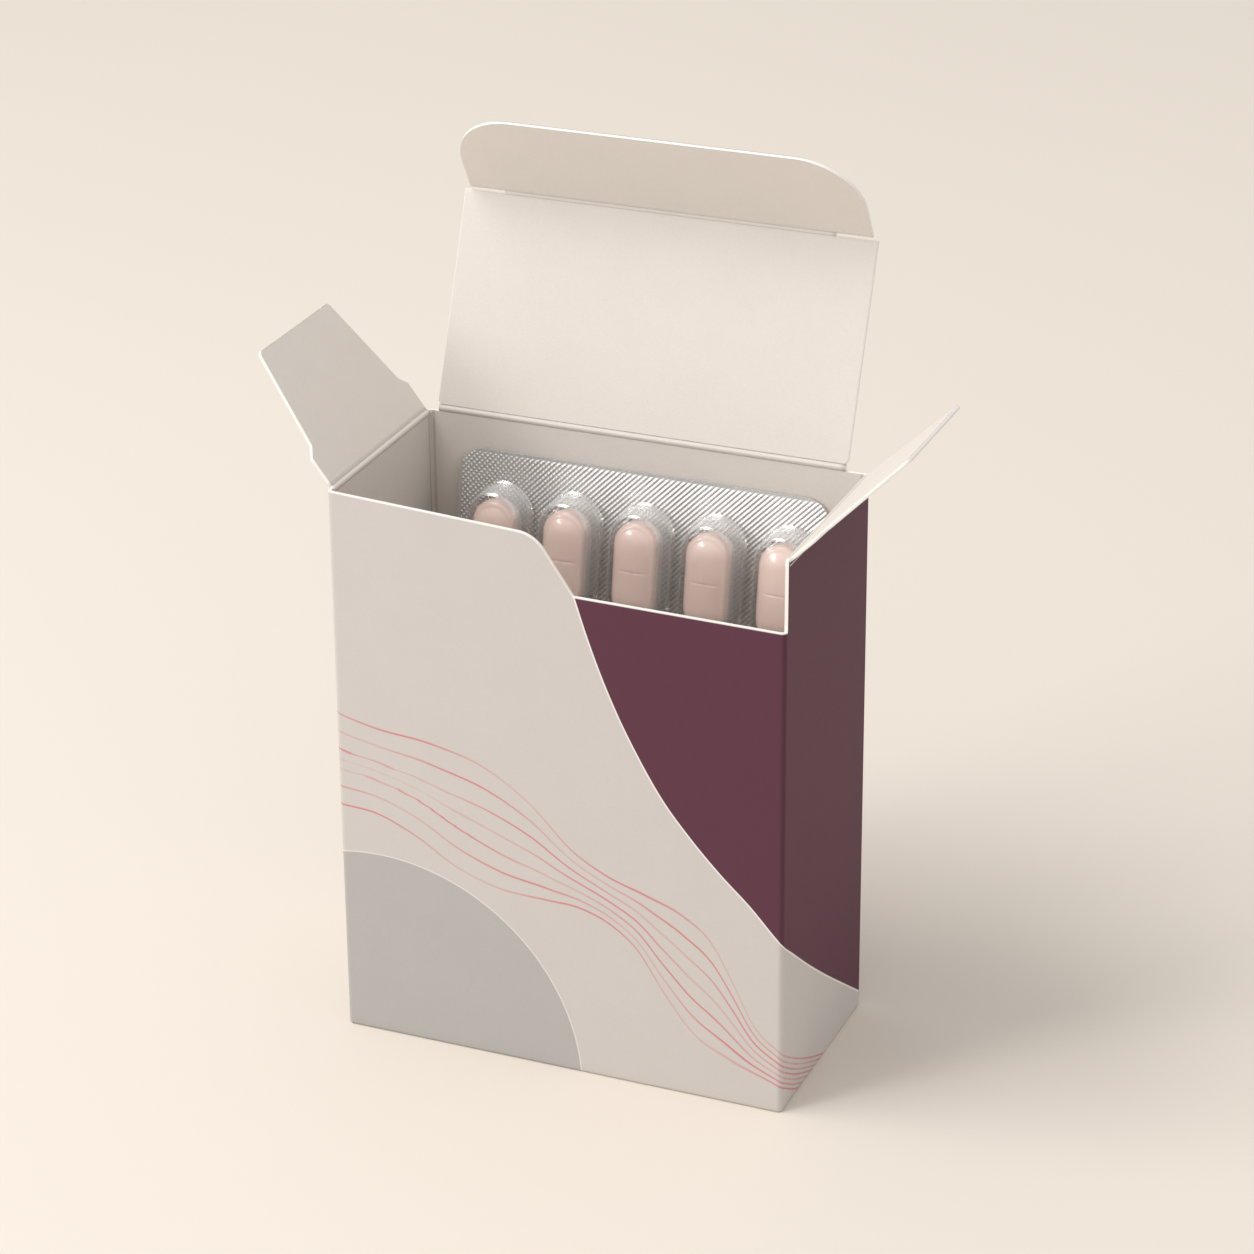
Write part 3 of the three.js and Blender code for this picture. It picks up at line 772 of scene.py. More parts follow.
def panel_surface(left, right, levels, board, bevel=CUT_BEVEL, columns=40):
    """A flat flap with thickness, before it is turned into place.

    left and right are the outline's x at each level of y. Each face is a grid between them,
    drawn in by the bevel, and two rim loops join the faces.
    """
    left, right = (np.broadcast_to(side, levels.shape)[:, None] for side in (left, right))
    share = np.unique(np.concatenate([np.linspace(0, 1, columns), PANEL_EDGE_SHARES]))
    x = left + (right - left) * share
    rows, columns = x.shape
    flat = np.stack([x.ravel(), np.repeat(levels, columns)], 1)
    loop = np.concatenate([
        np.arange(columns), np.arange(1, rows) * columns + columns - 1,
        (rows - 1) * columns + np.arange(columns - 2, -1, -1), np.arange(rows - 2, 0, -1) * columns])
    rim = flat[loop]
    along = np.roll(rim, -1, 0) - np.roll(rim, 1, 0)
    along /= np.linalg.norm(along, axis=1)[:, None] + 1e-9
    drawn = flat.copy()
    drawn[loop] += np.stack([-along[:, 1], along[:, 0]], 1) * bevel
    half = board / 2
    layers = ((drawn, half), (drawn, -half), (rim, half - bevel), (rim, bevel - half))
    points = np.concatenate([np.column_stack([place, np.full(len(place), z)]) for place, z in layers])
    face = grid_quads(rows, columns)
    k, size = np.arange(len(loop)), len(loop)
    after = (k + 1) % size
    tracks = (loop, 2 * len(flat) + k, 2 * len(flat) + size + k, len(flat) + loop)
    strips = [np.stack([b[k], b[after], a[after], a[k]], 1) for a, b in zip(tracks, tracks[1:])]
    quads = np.concatenate([face, face[:, ::-1] + len(flat), *strips])
    return Surface(points, quads, np.repeat([1, 0, 2], [len(face), len(face), 3 * size]))


def hinge_matrix(axis_point, across, lean_direction):
    """Turns a flat flap into place: its x runs along across, its y along the leaning direction,
    and its inner face looks along the product of the two."""
    across, up = Vector(across).normalized(), Vector(lean_direction).normalized()
    matrix = Matrix((across, up, across.cross(up))).transposed().to_4x4()
    matrix.translation = axis_point
    return matrix


def placed(points, matrix):
    """Points carried by a matrix whose lengths are millimetres."""
    m = np.array(matrix)
    return points @ m[:3, :3].T + m[:3, 3]


def dust_matrix(side, lean):
    """A dust flap's plane: x along its crease and its inner face towards the box."""
    return hinge_matrix((side * DUST_AXIS_X, 0, DUST_AXIS_Z), (0, -side, 0),
                        (side * math.sin(lean), 0, math.cos(lean)))


def lean_matrix(axis, lean):
    """A flap's plane on the lid's or the tuck's axis: x across, y up it, inner face forward."""
    return hinge_matrix((0, axis[1], axis[2]), (1, 0, 0), (0, math.sin(lean), math.cos(lean)))


CREASE_STEPS, CREASE_COLUMNS = 17, 60
# Width of the painted shade along each side of a crease
CREASE_GROOVE_SHADE_WIDTH = 0.14


def crease_surface(low, high, fold, settings):
    """A crease between two flat panels as a bent strip with a bead on its inner side.

    Across the crease the sheet turns from 0 to the fold by a smooth step, each point turning
    about the crease's axis, and the bead adds a bell to the inner face. y runs across the
    crease, x along it, and z out of the inner face of the first panel.
    """
    gap, half = settings.crease_gap / MM, settings.board / MM / 2
    bead, bead_width = settings.bead / MM, settings.bead_width / MM
    across = np.linspace(-gap, gap, CREASE_STEPS)
    bell = bead * (np.exp(-(across / bead_width) ** 2) - math.exp(-(gap / bead_width) ** 2))
    y = np.concatenate([across, across[::-1]])
    z = np.concatenate([half + bell, np.full(CREASE_STEPS, -half)])
    turn = -fold * smoothstep((y + gap) / (2 * gap))
    section = np.stack([y * np.cos(turn) + z * np.sin(turn), z * np.cos(turn) - y * np.sin(turn)], 1)
    rows = len(section)
    x = np.repeat(np.linspace(low, high, CREASE_COLUMNS), rows)
    points = np.column_stack([x, np.tile(section, (CREASE_COLUMNS, 1))])
    strip = grid_quads(CREASE_COLUMNS, rows, closed_columns=True)
    k = np.arange(CREASE_STEPS - 1)
    cap = np.stack([k, k + 1, rows - 2 - k, rows - 1 - k], 1)
    quads = np.concatenate([strip, cap[:, ::-1], cap + (CREASE_COLUMNS - 1) * rows])
    inner = np.tile(np.arange(rows) < CREASE_STEPS - 1, CREASE_COLUMNS - 1).astype(int)
    # Painted shade along both sides of the crease, which the plain board uses to darken
    groove = np.tile(np.exp(-((np.abs(y) - gap) / CREASE_GROOVE_SHADE_WIDTH) ** 2), CREASE_COLUMNS)
    looks = np.concatenate([inner, np.full(2 * len(cap), 2)])
    return Surface(points, quads[:, ::-1], looks, {"groove": groove})


def ordered_levels(*parts):
    """Levels in rising order without doubles."""
    levels = np.unique(np.round(np.concatenate([np.atleast_1d(p) for p in parts]), 4))
    return levels[np.concatenate([[True], np.diff(levels) > 0.02])]


class PieceOperator:
    """What the operators that build a piece share"""

    bl_options = {"REGISTER", "UNDO"}

    def board_looks(self, outer="carton_print"):
        """Materials of a board piece: outer side, inner side and cut edge."""
        colours = bpy.context.scene.print_settings
        made = bpy.data.materials
        if "carton_print" not in made:
            printed_board(colours)
            plain_board("carton_inside", colours.inside)
            cut_board(colours)
            plain_board("carton_plum", colours.plum)
            plain_board("carton_cream", colours.cream)
        return [made[outer], made["carton_inside"], made["carton_cut"]]

    def add(self, name, surface, looks, slot, node=None, body="carton", matrix=None, clean=None):
        """Makes a piece that rides a body, and that replaces the frame's node where one is given."""
        piece = new_piece(name, surface, looks, matrix)
        if clean:
            clean(piece)
        if node:
            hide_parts(node)
        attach(piece, body)


BASE_GAP, BASE_FRONT_GAP, BASE_OVERLAP = 0.3, 0.2, 0.1
BASE_SHORT_INSET, BASE_SHORT_FLAP = 1.2, 25.0
SEAM_WIDTH, SEAM_SLANT, SEAM_INSET = 12.1, math.radians(15), 2.5
GLUED_LEVELS = 30


class BOX_OT_sleeve(PieceOperator, bpy.types.Operator):
    """Builds the carton's walls, base flaps and glued seam"""

    bl_idname = "tablet_box.sleeve"
    bl_label = "Sleeve"

    def execute(self, context):
        settings = context.scene.board_settings
        self.add("sleeve_walls", wall_surface(settings), self.board_looks(), "printed_board", "sleeve")
        self.base_flaps(settings.board / MM)
        self.seam(settings.board / MM)
        return {"FINISHED"}

    def base_flaps(self, board):
        """The glued base: an outer flap, an inner one on it, and a short flap from each side."""
        half_x, half_y = WIDTH / 2 - board, DEPTH / 2 - board
        wide, narrow, short = half_x + BASE_OVERLAP, half_x - BASE_GAP, WIDTH / 2 - BASE_SHORT_FLAP
        deep, shallow = half_y + BASE_OVERLAP, half_y - BASE_SHORT_INSET
        flaps = {"outer": (-narrow, narrow, -deep, half_y - BASE_GAP, 0),
                 "inner": (-wide, wide, BASE_FRONT_GAP - half_y, deep, 1),
                 "left": (-wide, -short, -shallow, shallow, 2),
                 "right": (short, wide, -shallow, shallow, 2)}
        for name, (left, right, low, high, layer) in flaps.items():
            surface = panel_surface(left, right, np.linspace(low, high, GLUED_LEVELS), board)
            surface.points[:, 2] += board * (layer + 0.5)
            self.add("base_flap_" + name, surface, self.board_looks("carton_cream"), "printed_board")

    def seam(self, board):
        """The glued seam: a strip with slanted ends on the right wall's inner face."""
        share = np.linspace(0, 1, GLUED_LEVELS)
        levels = SEAM_WIDTH * share - (DEPTH / 2 - board + BASE_OVERLAP)
        slant = SEAM_WIDTH * math.tan(SEAM_SLANT) * share
        low, high = 3 * board + SEAM_INSET, WALL_TOP - SEAM_INSET
        matrix = Matrix(((0, 0, -1, WIDTH / 2 - 1.5 * board), (0, -1, 0, 0), (-1, 0, 0, 0), (0, 0, 0, 1)))
        self.add("seam_strip", panel_surface(slant - high, -low - slant, levels, board),
                 self.board_looks("carton_cream"), "plain_board", matrix=matrix)


SLIT_GAP = 0.36

LID_RELIEF, LID_LEVELS = 0.9, 46
LID_FOOT_LEVELS = np.array([0, 0.03, 0.1, 0.2, 0.4, 0.6, 0.8, 1.0])
TUCK_LENGTH, TUCK_SHOULDER, TUCK_CORNER = 17.4, 7.0, 11.0
TUCK_SIDE_LEVELS, TUCK_CORNER_LEVELS, TUCK_COLUMNS = 12, 26, 60


class BOX_OT_lid(PieceOperator, bpy.types.Operator):
    """Builds the lid and its tuck"""

    bl_idname = "tablet_box.lid"
    bl_label = "Lid and Tuck"

    def execute(self, context):
        settings = context.scene.board_settings
        board, looks = settings.board / MM, self.board_looks("carton_plum")
        lid = panel_surface(*self.lid_outline(settings.crease_gap / MM), board)
        self.add("lid_panel", lid, looks, "plain_board", "lid", "lid", lean_matrix(LID_AXIS, LID_LEAN))
        tuck = panel_surface(*self.tuck_outline(), board, columns=TUCK_COLUMNS)
        self.add("tuck_panel", tuck, looks, "plain_board", "tuck", "tuck",
                 lean_matrix(TUCK_AXIS, LID_LEAN - settings.tuck_fold))
        return {"FINISHED"}

    def lid_outline(self, gap):
        """Straight sides from the hinge's crease to the tuck's, relieved by a small quarter circle
        at each of the hinge's corners."""
        levels = ordered_levels(gap + LID_FOOT_LEVELS,
                                np.linspace(gap + 1, LID_LENGTH - SLIT_GAP, LID_LEVELS))
        rise = np.clip((levels - gap) / LID_RELIEF, 0, 1)
        inset = LID_RELIEF * (1 - np.sqrt(1 - (1 - rise) ** 2))
        return LID_LOW[0] + inset, LID_HIGH[0] - inset, levels

    def tuck_outline(self):
        """Straight shoulders, then a quarter ellipse at each corner up to the straight end."""
        low, high = node_box("tuck")
        end = TUCK_LENGTH - TUCK_SHOULDER
        rise = TUCK_SHOULDER + end * np.sin(np.linspace(0, math.pi / 2, TUCK_CORNER_LEVELS))
        levels = ordered_levels(np.linspace(SLIT_GAP, TUCK_SHOULDER, TUCK_SIDE_LEVELS), rise)
        share = np.clip((levels - TUCK_SHOULDER) / end, 0, 1)
        inset = TUCK_CORNER * (1 - np.sqrt(1 - share ** 2))
        return low[0] + inset, high[0] - inset, levels


DUST_SIDES = (("left", -1, "carton_cream"), ("right", 1, "carton_plum"))
DUST_SHOULDER, DUST_STEP, DUST_TIP, DUST_CORNER = 6.0, 7.7, 25.0, 1.0
DUST_SHORT_LEVELS, DUST_TAPER_LEVELS = 8, 24
# How far the outline is drawn in at the crease, shoulder, step and taper's end
DUST_FRONT_INSETS, DUST_BACK_INSETS = (0, 0, 2.0, 5.0), (0, 0, 1.7, 5.8)


class BOX_OT_dust_flaps(PieceOperator, bpy.types.Operator):
    """Builds the two dust flaps"""

    bl_idname = "tablet_box.dust_flaps"
    bl_label = "Dust Flaps"

    def execute(self, context):
        settings = context.scene.board_settings
        front, back, levels = self.outline(settings.crease_gap / MM)
        for name, side, outer in DUST_SIDES:
            ends = (front, back) if side < 0 else (-back, -front)
            self.add("dust_panel_" + name, panel_surface(*ends, levels, settings.board / MM),
                     self.board_looks(outer), "plain_board", "dust_flap_" + name, "dust_flap_" + name,
                     dust_matrix(side, getattr(settings, name + "_lean")))
        return {"FINISHED"}

    def outline(self, gap):
        """Straight shoulders, a step inwards, a taper and small round corners at the tip."""
        taper_end = DUST_TIP - DUST_CORNER
        arc = taper_end + DUST_CORNER * np.sin(np.linspace(0, math.pi / 2, DUST_SHORT_LEVELS))
        levels = ordered_levels(
            np.linspace(gap, DUST_SHOULDER, DUST_SHORT_LEVELS),
            np.linspace(DUST_SHOULDER, DUST_STEP, DUST_SHORT_LEVELS),
            np.linspace(DUST_STEP, taper_end, DUST_TAPER_LEVELS), arc)
        past = np.maximum(levels - taper_end, 0)
        rounding = DUST_CORNER - np.sqrt(np.maximum(DUST_CORNER ** 2 - past ** 2, 0))
        marks = [gap, DUST_SHOULDER, DUST_STEP, taper_end]
        return (DUST_LOW[1] + np.interp(levels, marks, DUST_FRONT_INSETS) + rounding,
                DUST_HIGH[1] - np.interp(levels, marks, DUST_BACK_INSETS) - rounding, levels)


LID_CREASE_INSET, TUCK_CREASE_INSET = 0.3, 6.5


class BOX_OT_creases(PieceOperator, bpy.types.Operator):
    """Builds the bent board at the lid's, the tuck's and the dust flaps' creases"""

    bl_idname = "tablet_box.creases"
    bl_label = "Creases"

    def execute(self, context):
        settings = context.scene.board_settings
        tuck_low, tuck_high = node_box("tuck")
        self.crease("lid_crease", (LID_LOW[0] + LID_CREASE_INSET, LID_HIGH[0] - LID_CREASE_INSET),
                    -LID_LEAN, lean_matrix(LID_AXIS, 0), ("carton", "lid"), "carton_plum")
        self.crease("tuck_crease", (tuck_low[0] + TUCK_CREASE_INSET, tuck_high[0] - TUCK_CREASE_INSET),
                    settings.tuck_fold, lean_matrix(TUCK_AXIS, LID_LEAN), ("lid", "tuck"), "carton_plum")
        for name, side, outer in DUST_SIDES:
            ends = (DUST_LOW[1], DUST_HIGH[1]) if side < 0 else (-DUST_HIGH[1], -DUST_LOW[1])
            self.crease("dust_crease_" + name, ends, -getattr(settings, name + "_lean"),
                        dust_matrix(side, 0.0), ("carton", "dust_flap_" + name), outer)
        return {"FINISHED"}

    def crease(self, name, ends, fold, matrix, bodies, outer):
        """One bent strip, carried into place by the matrix and fixed there."""
        settings = bpy.context.scene.board_settings
        gap = settings.crease_gap / MM
        piece = new_piece(name, crease_surface(*ends, fold, settings), self.board_looks(outer), matrix)
        marks = np.array([[0, -gap, 0], [0, gap * math.cos(fold), gap * math.sin(fold)]])
        start, end = placed(marks, matrix) * MM
        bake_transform(piece)


# The blister
def sheet_matrix(settings, node):
    """The blister's plane through the middle of one of its nodes: x across, y up, z to the front."""
    low, high = node_box(node)
    centre = (low + high) / 2
    lean = settings.lean
    return Matrix(((1, 0, 0, centre[0]),
                   (0, math.sin(lean), -math.cos(lean), centre[1]),
                   (0, math.cos(lean), math.sin(lean), centre[2]), (0, 0, 0, 1)))


def sheet_size():
    """Width and length of the blister's sheet, from the foil's box."""
    low, high = node_box("foil")
    size = high - low
    return float(size[0]), float(math.hypot(size[1], size[2]))


def corner_inset(levels, length, corner):
    """How far a rounded sheet's edge is drawn in at each level."""
    off = np.maximum(np.abs(levels) - (length / 2 - corner), 0)
    return corner - np.sqrt(np.maximum(corner ** 2 - off ** 2, 0))


FOIL_SHEET, FOIL_BEVEL, FOIL_LEVELS, FOIL_COLUMNS = 0.06, 0.015, 310, 240
FOIL_CORNER_LEVELS = 16
SEAL_START, SEAL_RISE = 0.5, 0.4


class BOX_OT_foil(PieceOperator, bpy.types.Operator):
    """Builds the knurled lidding foil"""

    bl_idname = "tablet_box.foil"
    bl_label = "Foil"

    def execute(self, context):
        settings = context.scene.blister_settings
        surface = self.surface(settings, *sheet_size(), settings.corner / MM)
        front_faces = int((surface.looks == 1).sum())
        look = bpy.data.materials.get("blister_foil") or knurled_foil(settings)
        self.add("foil_sheet", surface._replace(looks=None), [look], "foil", "foil",
                 matrix=sheet_matrix(settings, "foil"),
                 clean=lambda piece: one_back_face(piece, front_faces))
        return {"FINISHED"}

    def surface(self, settings, width, length, corner):
        """A sheet with round corners, whose front face is raised by the seal pattern."""
        middle = length / 2 - corner
        ends = middle + corner * np.sin(np.linspace(0, math.pi / 2, FOIL_CORNER_LEVELS))
        levels = ordered_levels(-ends, np.linspace(-middle, middle, FOIL_LEVELS), ends)
        side = width / 2 - corner_inset(levels, length, corner)
        sheet = panel_surface(-side, side, levels, FOIL_SHEET, FOIL_BEVEL, FOIL_COLUMNS)
        x, y, z = sheet.points.T
        edge = np.minimum(width / 2 - np.abs(x), length / 2 - np.abs(y))
        seal = smoothstep((edge - SEAL_START) / SEAL_RISE)
        start, end = ONE_WAY_RUN
        one_way = ONE_WAY_SHARE * smoothstep((x - start) / (end - start))
        relief = settings.knurl_height / MM * knurl(x, y, one_way, settings.knurl_pitch / MM, np.sin)
        sheet.points[:, 2] += np.where(z == z.max(), relief * seal, 0)
        return sheet._replace(numbers={"sheet_x_mm": x, "sheet_y_mm": y, "seal": seal})


COLUMNS, ROWS = 5, 4
TABLET_NODES = [f"tablet_{row + 1}_{column + 1}" for row in range(ROWS) for column in range(COLUMNS)]
TABLET_LENGTH, TABLET_WIDTH, TABLET_THICKNESS = 17.0, 8.0, 5.0
TABLET_BAND, SHOULDER_IN, SHOULDER_UP = 0.95, 1.05, 0.95
SCORE_DEPTH, SCORE_WIDTH, SCORE_HALF_LENGTH, SCORE_FADE, SCORE_ABOVE = 0.06, 0.13, 2.5, 0.5, 1.8
SHOULDER_TURN, SHOULDER_RINGS = math.pi / 2 * 0.9, 9
FACE_START, FACE_RINGS, MIDDLE_GAP = 1.0, 14, 0.04
OUTLINE_POINTS, OUTLINE_CROWDING = 72, 2.2


def pill_ring(length, span, count=OUTLINE_POINTS):
    """Points round a stadium of that length and width, as x and y, crowded at the middle of its
    straight sides."""
    radius = span / 2
    straight = max(length / 2 - radius, 0)
    side = count // 4
    arc = np.linspace(-math.pi / 2, math.pi / 2, count // 2 - side + 1)[:-1]
    share = np.linspace(-1, 1, side + 1)[:-1]
    run = np.sign(share) * np.abs(share) ** OUTLINE_CROWDING
    half = np.column_stack([np.concatenate([np.full(side, radius), radius * np.sin(-arc)]),
                            np.concatenate([run * straight, straight + radius * np.cos(arc)])])
    return np.concatenate([half, -half])


def capped_tube(rings, count):
    """Faces of that many rings of count points stacked in order, with fans of quads on the ends."""
    k = np.arange(count // 2 - 1)
    cap = np.stack([k, k + 1, count - 2 - k, count - 1 - k], 1)
    return np.concatenate([grid_quads(rings, count, closed_columns=True), cap[:, ::-1],
                           cap + (rings - 1) * count])


def tablet_surface():
    """A tablet: a straight band, a soft shoulder on each side of it, and a slightly domed face.

    For each inset from the outline the height follows a shoulder arc and then a shallow
    parabola, and the face has a score, a narrow bell-shaped groove across its middle.
    """
    angle = np.linspace(0, SHOULDER_TURN, SHOULDER_RINGS)
    inset = np.unique(np.concatenate([
        SHOULDER_IN * (1 - np.cos(angle)),
        np.linspace(FACE_START, TABLET_WIDTH / 2 - MIDDLE_GAP, FACE_RINGS)]))
    shoulder = np.clip(inset / SHOULDER_IN, 0, 1)
    face = np.clip((inset - SHOULDER_IN) / (TABLET_WIDTH / 2 - SHOULDER_IN), 0, 1)
    dome = TABLET_THICKNESS / 2 - TABLET_BAND - SHOULDER_UP
    height = TABLET_BAND + SHOULDER_UP * np.sqrt(1 - (1 - shoulder) ** 2) + dome * (1 - (1 - face) ** 2)
    outlines = [pill_ring(TABLET_LENGTH - 2 * drawn, TABLET_WIDTH - 2 * drawn)
                for drawn in [*inset[::-1], *inset]]
    points = np.concatenate([np.column_stack([outline, np.full(len(outline), z)])
                             for outline, z in zip(outlines, [*-height[::-1], *height])])
    x, y, z = points.T
    groove = np.exp(-(y / SCORE_WIDTH) ** 2) * smoothstep((SCORE_HALF_LENGTH - np.abs(x)) / SCORE_FADE)
    points[:, 2] -= np.sign(z) * np.where(np.abs(z) > SCORE_ABOVE, SCORE_DEPTH * groove, 0)
    return Surface(points, capped_tube(len(outlines), len(outlines[0])))


class BOX_OT_tablets(PieceOperator, bpy.types.Operator):
    """Builds the twenty coated tablets"""

    bl_idname = "tablet_box.tablets"
    bl_label = "Tablets"

    def execute(self, context):
        settings = context.scene.blister_settings
        look = bpy.data.materials.get("tablet_finish") or tablet_coat(settings)
        surface = tablet_surface()
        for node in TABLET_NODES:
            self.add("coated_" + node, surface, [look], "tablet_coat", node,
                     matrix=sheet_matrix(settings, node))
        return {"FINISHED"}


# The film's profile from a pocket's foot to its crown: how far outside the tablet's outline it
# stands and its height over the sheet's underside, both for the outer skin
FILM_PROFILE = np.array([
    (1.9, 0.25), (1.62, 0.26), (1.5, 0.36), (1.42, 0.52), (1.3, 0.6), (1.12, 0.62), (1.0, 0.7),
    (0.93, 0.95), (0.86, 1.9), (0.78, 3.1), (0.7, 4.2), (0.6, 4.75), (0.42, 5.1), (0.1, 5.32),
    (-0.4, 5.48), (-1.1, 5.66), (-1.9, 5.8), (-2.8, 5.88), (-3.6, 5.91)])
# How much more mirror-like the film is made at some of the profile's points, where it turns sharply:
# painted highlight lines
FILM_BEND_HIGHLIGHTS = {2: 0.5, 3: 1.0, 6: 0.7, 12: 0.9}
FILM_SHEET, FILM_SKIN, FILM_RIM, FILM_LIFT = 0.25, 0.2, 0.12, 0.35
FILM_FLAT, POCKET_SPARE, OUTLINE_NEAR, LEAST_HALF = 0.27, 1.0, 0.01, 0.1
WALL_START, WALL_RISE, WALL_STOP, WALL_FALL = 0.5, 0.3, 4.6, 0.7
CELL_ACROSS, CELL_UP = 20, 16


def pocket_ring(half_width, half_length):
    """A stadium as x and y, counter-clockwise from its lower right, with as many points on its
    round ends as a cell has across and as many on its straight sides as a cell has up."""
    straight = max(half_length - half_width, 0)
    side = np.linspace(-1, 1, CELL_UP + 1)[:-1]
    arc = np.linspace(0, math.pi, CELL_ACROSS + 1)[:-1]
    half = np.concatenate([
        np.stack([np.full(CELL_UP, half_width), side * straight], 1),
        np.stack([half_width * np.cos(arc), straight + half_width * np.sin(arc)], 1)])
    return np.concatenate([half, -half])


def cell_ring(left, right, low, high):
    """The outline of a rectangle with the same number of points and the same order."""
    side = np.linspace(low, high, CELL_UP + 1)[:-1]
    across = np.linspace(right, left, CELL_ACROSS + 1)[:-1]
    return np.concatenate([
        np.stack([np.full(CELL_UP, right), side], 1), np.stack([across, np.full(CELL_ACROSS, high)], 1),
        np.stack([np.full(CELL_UP, left), low + high - side], 1),
        np.stack([left + right - across, np.full(CELL_ACROSS, low)], 1)])


def rounded_ring(left, right, low, high, width, length, corner):
    """A cell's rectangle, drawn in where it passes the sheet's round corners."""
    edge = cell_ring(left, right, low, high)
    middle = np.sign(edge) * [width / 2 - corner, length / 2 - corner]
    off = edge - middle
    outside = ((off * np.sign(edge)) > 0).all(1)
    reach = np.linalg.norm(off, axis=1) + 1e-9
    return np.where((outside & (reach > corner))[:, None], middle + off * (corner / reach)[:, None], edge)


CELL_RING = 2 * (CELL_ACROSS + CELL_UP)
CELL_ROWS = len(FILM_PROFILE) + 3


def inner_profile():
    """The profile moved inwards by the film's thickness, square to its own direction."""
    run = np.gradient(FILM_PROFILE, axis=0)
    run /= np.linalg.norm(run, axis=1)[:, None]
    moved = FILM_PROFILE + np.stack([run[:, 1], -run[:, 0]], 1) * [-FILM_SKIN, FILM_SKIN]
    flat = FILM_PROFILE[:, 1] < FILM_FLAT
    moved[:, 1] = np.where(flat, FILM_PROFILE[:, 1] - FILM_SKIN, moved[:, 1])
    return moved


def cell_skin(edge, inside, centre, profile, base):
    """Rings of one skin of a cell: its rectangle, a ring just inside, the profile's and the crown's."""
    rings, levels = [edge, inside], [base, base, *profile[:, 1], profile[-1, 1]]
    for spread in profile[:, 0]:
        rings.append(centre + pocket_ring(
            max(TABLET_WIDTH / 2 + spread, 0),
            max((TABLET_LENGTH + POCKET_SPARE) / 2 + spread, LEAST_HALF)))
    rings.append(centre + pocket_ring(0.0, (TABLET_LENGTH - TABLET_WIDTH + POCKET_SPARE) / 2))
    return np.column_stack([np.concatenate(rings), np.repeat(levels, CELL_RING)])


def on_outline(place, width, length, corner):
    """Whether points of the cells' rectangles lie on the sheet's own outline."""
    off = np.abs(place) - [width / 2, length / 2]
    return (off > -OUTLINE_NEAR).any(1) | (off > -corner).all(1)


def film_surface(width, length, corner, places):
    """The clear film: a flat sheet that rises into a pocket over each tablet.

    The sheet is divided into one cell for each pocket. Each cell has an outer and an inner skin,
    and rim faces join the skins along the sheet's own outline.
    """
    marks = [np.unique(np.round(places[:, axis], 3)) for axis in (0, 1)]
    x_edges, y_edges = (np.concatenate([[-span / 2], (at[1:] + at[:-1]) / 2, [span / 2]])
                        for at, span in zip(marks, (width, length)))
    k = np.arange(CELL_RING)
    after = (k + 1) % CELL_RING
    faces = grid_quads(CELL_ROWS, CELL_RING, closed_columns=True)
    size = CELL_ROWS * CELL_RING
    points, quads = [], []
    for i, x in enumerate(marks[0]):
        for j, y in enumerate(marks[1]):
            borders = np.array([x_edges[i], x_edges[i + 1], y_edges[j], y_edges[j + 1]])
            edge = rounded_ring(*borders, width, length, corner)
            inside = rounded_ring(*borders + np.array([1, -1, 1, -1]) * FILM_RIM, width - 2 * FILM_RIM,
                                  length - 2 * FILM_RIM, corner - FILM_RIM)
            centre = [x, y + POCKET_SPARE / 2]
            start = len(points) * size
            points += [cell_skin(edge, inside, centre, FILM_PROFILE, FILM_SHEET),
                       cell_skin(edge, inside, centre, inner_profile(), FILM_SHEET - FILM_SKIN)]
            rim = np.stack([start + after, start + k, start + size + k, start + size + after], 1)
            quads += [faces + start, faces[:, ::-1] + start + size,
                      rim[on_outline((edge[k] + edge[after]) / 2, width, length, corner)]]
    points = np.concatenate(points)
    # Painted highlight lines: rings at these profile points are made more mirror-like
    bends = np.zeros(CELL_ROWS)
    bends[np.array(list(FILM_BEND_HIGHLIGHTS)) + 2] = list(FILM_BEND_HIGHLIGHTS.values())
    height = points[:, 2]
    wall = (smoothstep((height - WALL_START) / WALL_RISE)
            * (1 - smoothstep((height - WALL_STOP) / WALL_FALL)))
    bend_highlight = np.tile(np.repeat(bends, CELL_RING), len(points) // size)
    return Surface(points, np.concatenate(quads), None, {"wall": wall, "bend_highlight": bend_highlight})


class BOX_OT_film(PieceOperator, bpy.types.Operator):
    """Builds the clear film with its twenty pockets"""

    bl_idname = "tablet_box.film"
    bl_label = "Film"

    def execute(self, context):
        settings = context.scene.blister_settings
        matrix = sheet_matrix(settings, "foil")
        centres = np.array([np.add(*node_box(name)) / 2 for name in TABLET_NODES])
        places = placed(centres, matrix.inverted())[:, :2]
        surface = film_surface(*sheet_size(), settings.corner / MM, places)
        surface.points[:, 2] += FILM_LIFT
        self.add("clear_film", surface, [clear_film(settings)], "film", "film", matrix=matrix,
                 clean=merge_doubles)
        return {"FINISHED"}


# Camera, floor and lights, in metres and watts
SENSOR_WIDTH = 36.0
FLOOR_HALF, FLOOR_CLOUD_SIZE = 3000.0, 250.0
SKY_COLOUR, SKY_STRENGTH = (1.0, 0.99, 0.975, 1.0), 0.72
LIGHTS = (("key", (-0.58, -0.36, 1.42), 0.75, 10.4, (1.0, 0.985, 0.965)),
          ("window", (-0.62, -0.78, 0.4), 0.28, 2.8, (1.0, 0.99, 0.98)))
LIGHTS_AIM = Vector((0, 0, 0.06))


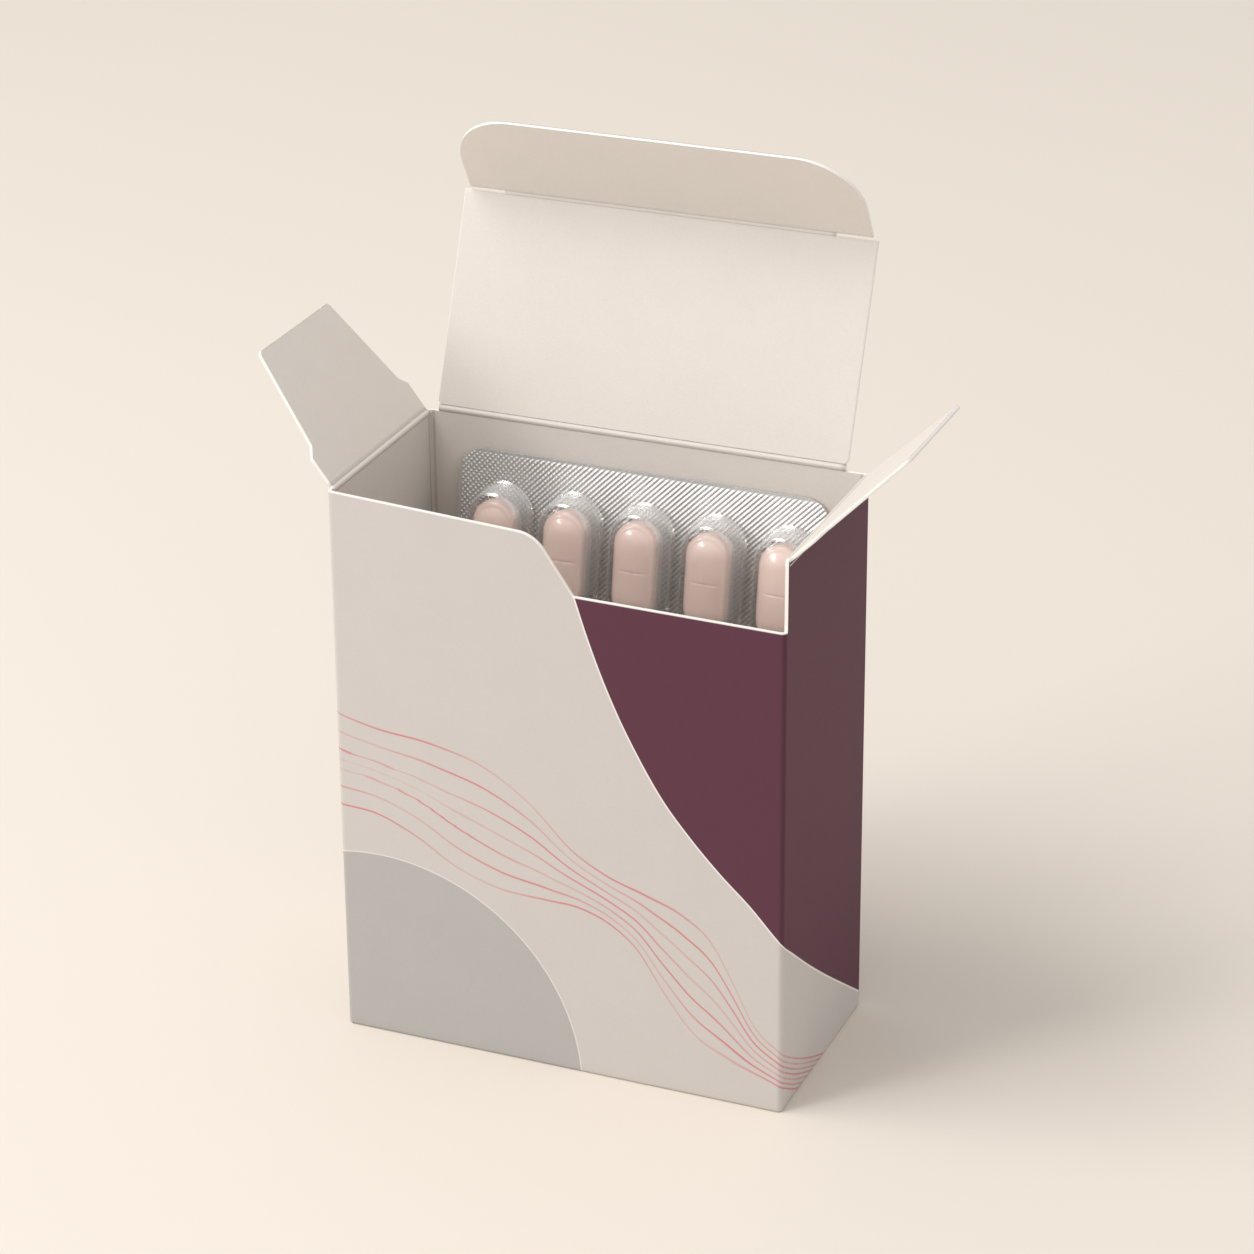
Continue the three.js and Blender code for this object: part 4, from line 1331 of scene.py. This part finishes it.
class BOX_OT_stage(bpy.types.Operator):
    """Sets up the camera, the floor and the lights"""

    bl_idname = "tablet_box.stage"
    bl_label = "Stage"

    def execute(self, context):
        settings = context.scene.stage_settings
        self.camera(context, settings)
        self.floor(settings)
        self.sky(context)
        for light in LIGHTS:
            self.area(*light)
        context.scene.view_settings.view_transform = "Standard"
        return {"FINISHED"}

    def camera(self, context, settings):
        """The photograph's view: forward from azimuth and elevation, then a small roll."""
        az, el, roll = settings.azimuth, settings.elevation, settings.roll
        forward = Vector((-math.sin(az) * math.cos(el), math.cos(az) * math.cos(el), -math.sin(el)))
        right = Vector((math.cos(az), math.sin(az), 0))
        turned = right * math.cos(roll) + forward.cross(right) * math.sin(roll)
        data = bpy.data.cameras.new("camera")
        data.lens = settings.lens
        data.sensor_width = SENSOR_WIDTH
        camera = bpy.data.objects.new("camera", data)
        back = -forward
        matrix = Matrix((turned, back.cross(turned), back)).transposed().to_4x4()
        matrix.translation = Vector(settings.eye)
        camera.matrix_world = matrix
        context.scene.collection.objects.link(camera)
        context.scene.camera = camera

    def floor(self, settings):
        """A plain seamless floor."""
        shader = Shader("floor")
        clouds = shader.noise(shader.place(), FLOOR_CLOUD_SIZE, 1.0)
        colour = shader.shade(tuple(settings.floor), 0.99 + 0.02 * clouds)
        look = shader.finish(shader.principled(Base_Color=colour, Roughness=0.9, Specular_IOR_Level=0.1))
        corners = np.array([[-1, -1, 0], [1, -1, 0], [1, 1, 0], [-1, 1, 0]]) * FLOOR_HALF
        new_piece("floor", Surface(corners, np.array([[0, 1, 2, 3]])), [look], smooth=False)

    def sky(self, context):
        """An even, slightly warm sky."""
        world = bpy.data.worlds.new("sky")
        world.use_nodes = True
        ground = world.node_tree.nodes["Background"]
        ground.inputs["Color"].default_value = SKY_COLOUR
        ground.inputs["Strength"].default_value = SKY_STRENGTH
        context.scene.world = world

    def area(self, name, place, size, power, colour):
        """A square soft light that looks at the box's middle."""
        data = bpy.data.lights.new(name, "AREA")
        data.size = size
        data.energy = power
        data.color = colour
        light = bpy.data.objects.new(name, data)
        light.location = place
        light.rotation_euler = (LIGHTS_AIM - Vector(place)).to_track_quat("-Z", "Y").to_euler()
        bpy.context.scene.collection.objects.link(light)


# The add-on
class BOX_PT_panel(bpy.types.Panel):
    """Lists the box's pieces in the sidebar"""

    bl_label = "Tablet Box"
    bl_space_type = "VIEW_3D"
    bl_region_type = "UI"
    bl_category = "Tablet Box"

    def draw(self, context):
        for operator in OPERATORS:
            self.layout.operator(operator.bl_idname)


OPERATORS = (BOX_OT_stage, BOX_OT_sleeve, BOX_OT_lid, BOX_OT_dust_flaps, BOX_OT_creases,
             BOX_OT_foil, BOX_OT_tablets, BOX_OT_film)
GROUPS = {"board_settings": BoardSettings, "print_settings": PrintSettings,
          "blister_settings": BlisterSettings, "stage_settings": StageSettings}


def register():
    """Registers the classes and hangs the settings on the scene."""
    for group in (*GROUPS.values(), *OPERATORS, BOX_PT_panel):
        bpy.utils.register_class(group)
    for name, group in GROUPS.items():
        setattr(bpy.types.Scene, name, bpy.props.PointerProperty(type=group))


def unregister():
    """Takes the settings and classes away again."""
    for name in GROUPS:
        delattr(bpy.types.Scene, name)
    for group in (BOX_PT_panel, *reversed(OPERATORS), *reversed(GROUPS.values())):
        bpy.utils.unregister_class(group)


def main():
    """Builds every piece."""
    register()
    bpy.ops.tablet_box.stage()
    bpy.ops.tablet_box.sleeve()
    bpy.ops.tablet_box.lid()
    bpy.ops.tablet_box.dust_flaps()
    bpy.ops.tablet_box.creases()
    bpy.ops.tablet_box.foil()
    bpy.ops.tablet_box.tablets()
    bpy.ops.tablet_box.film()


if __name__ == "__main__":
    main()
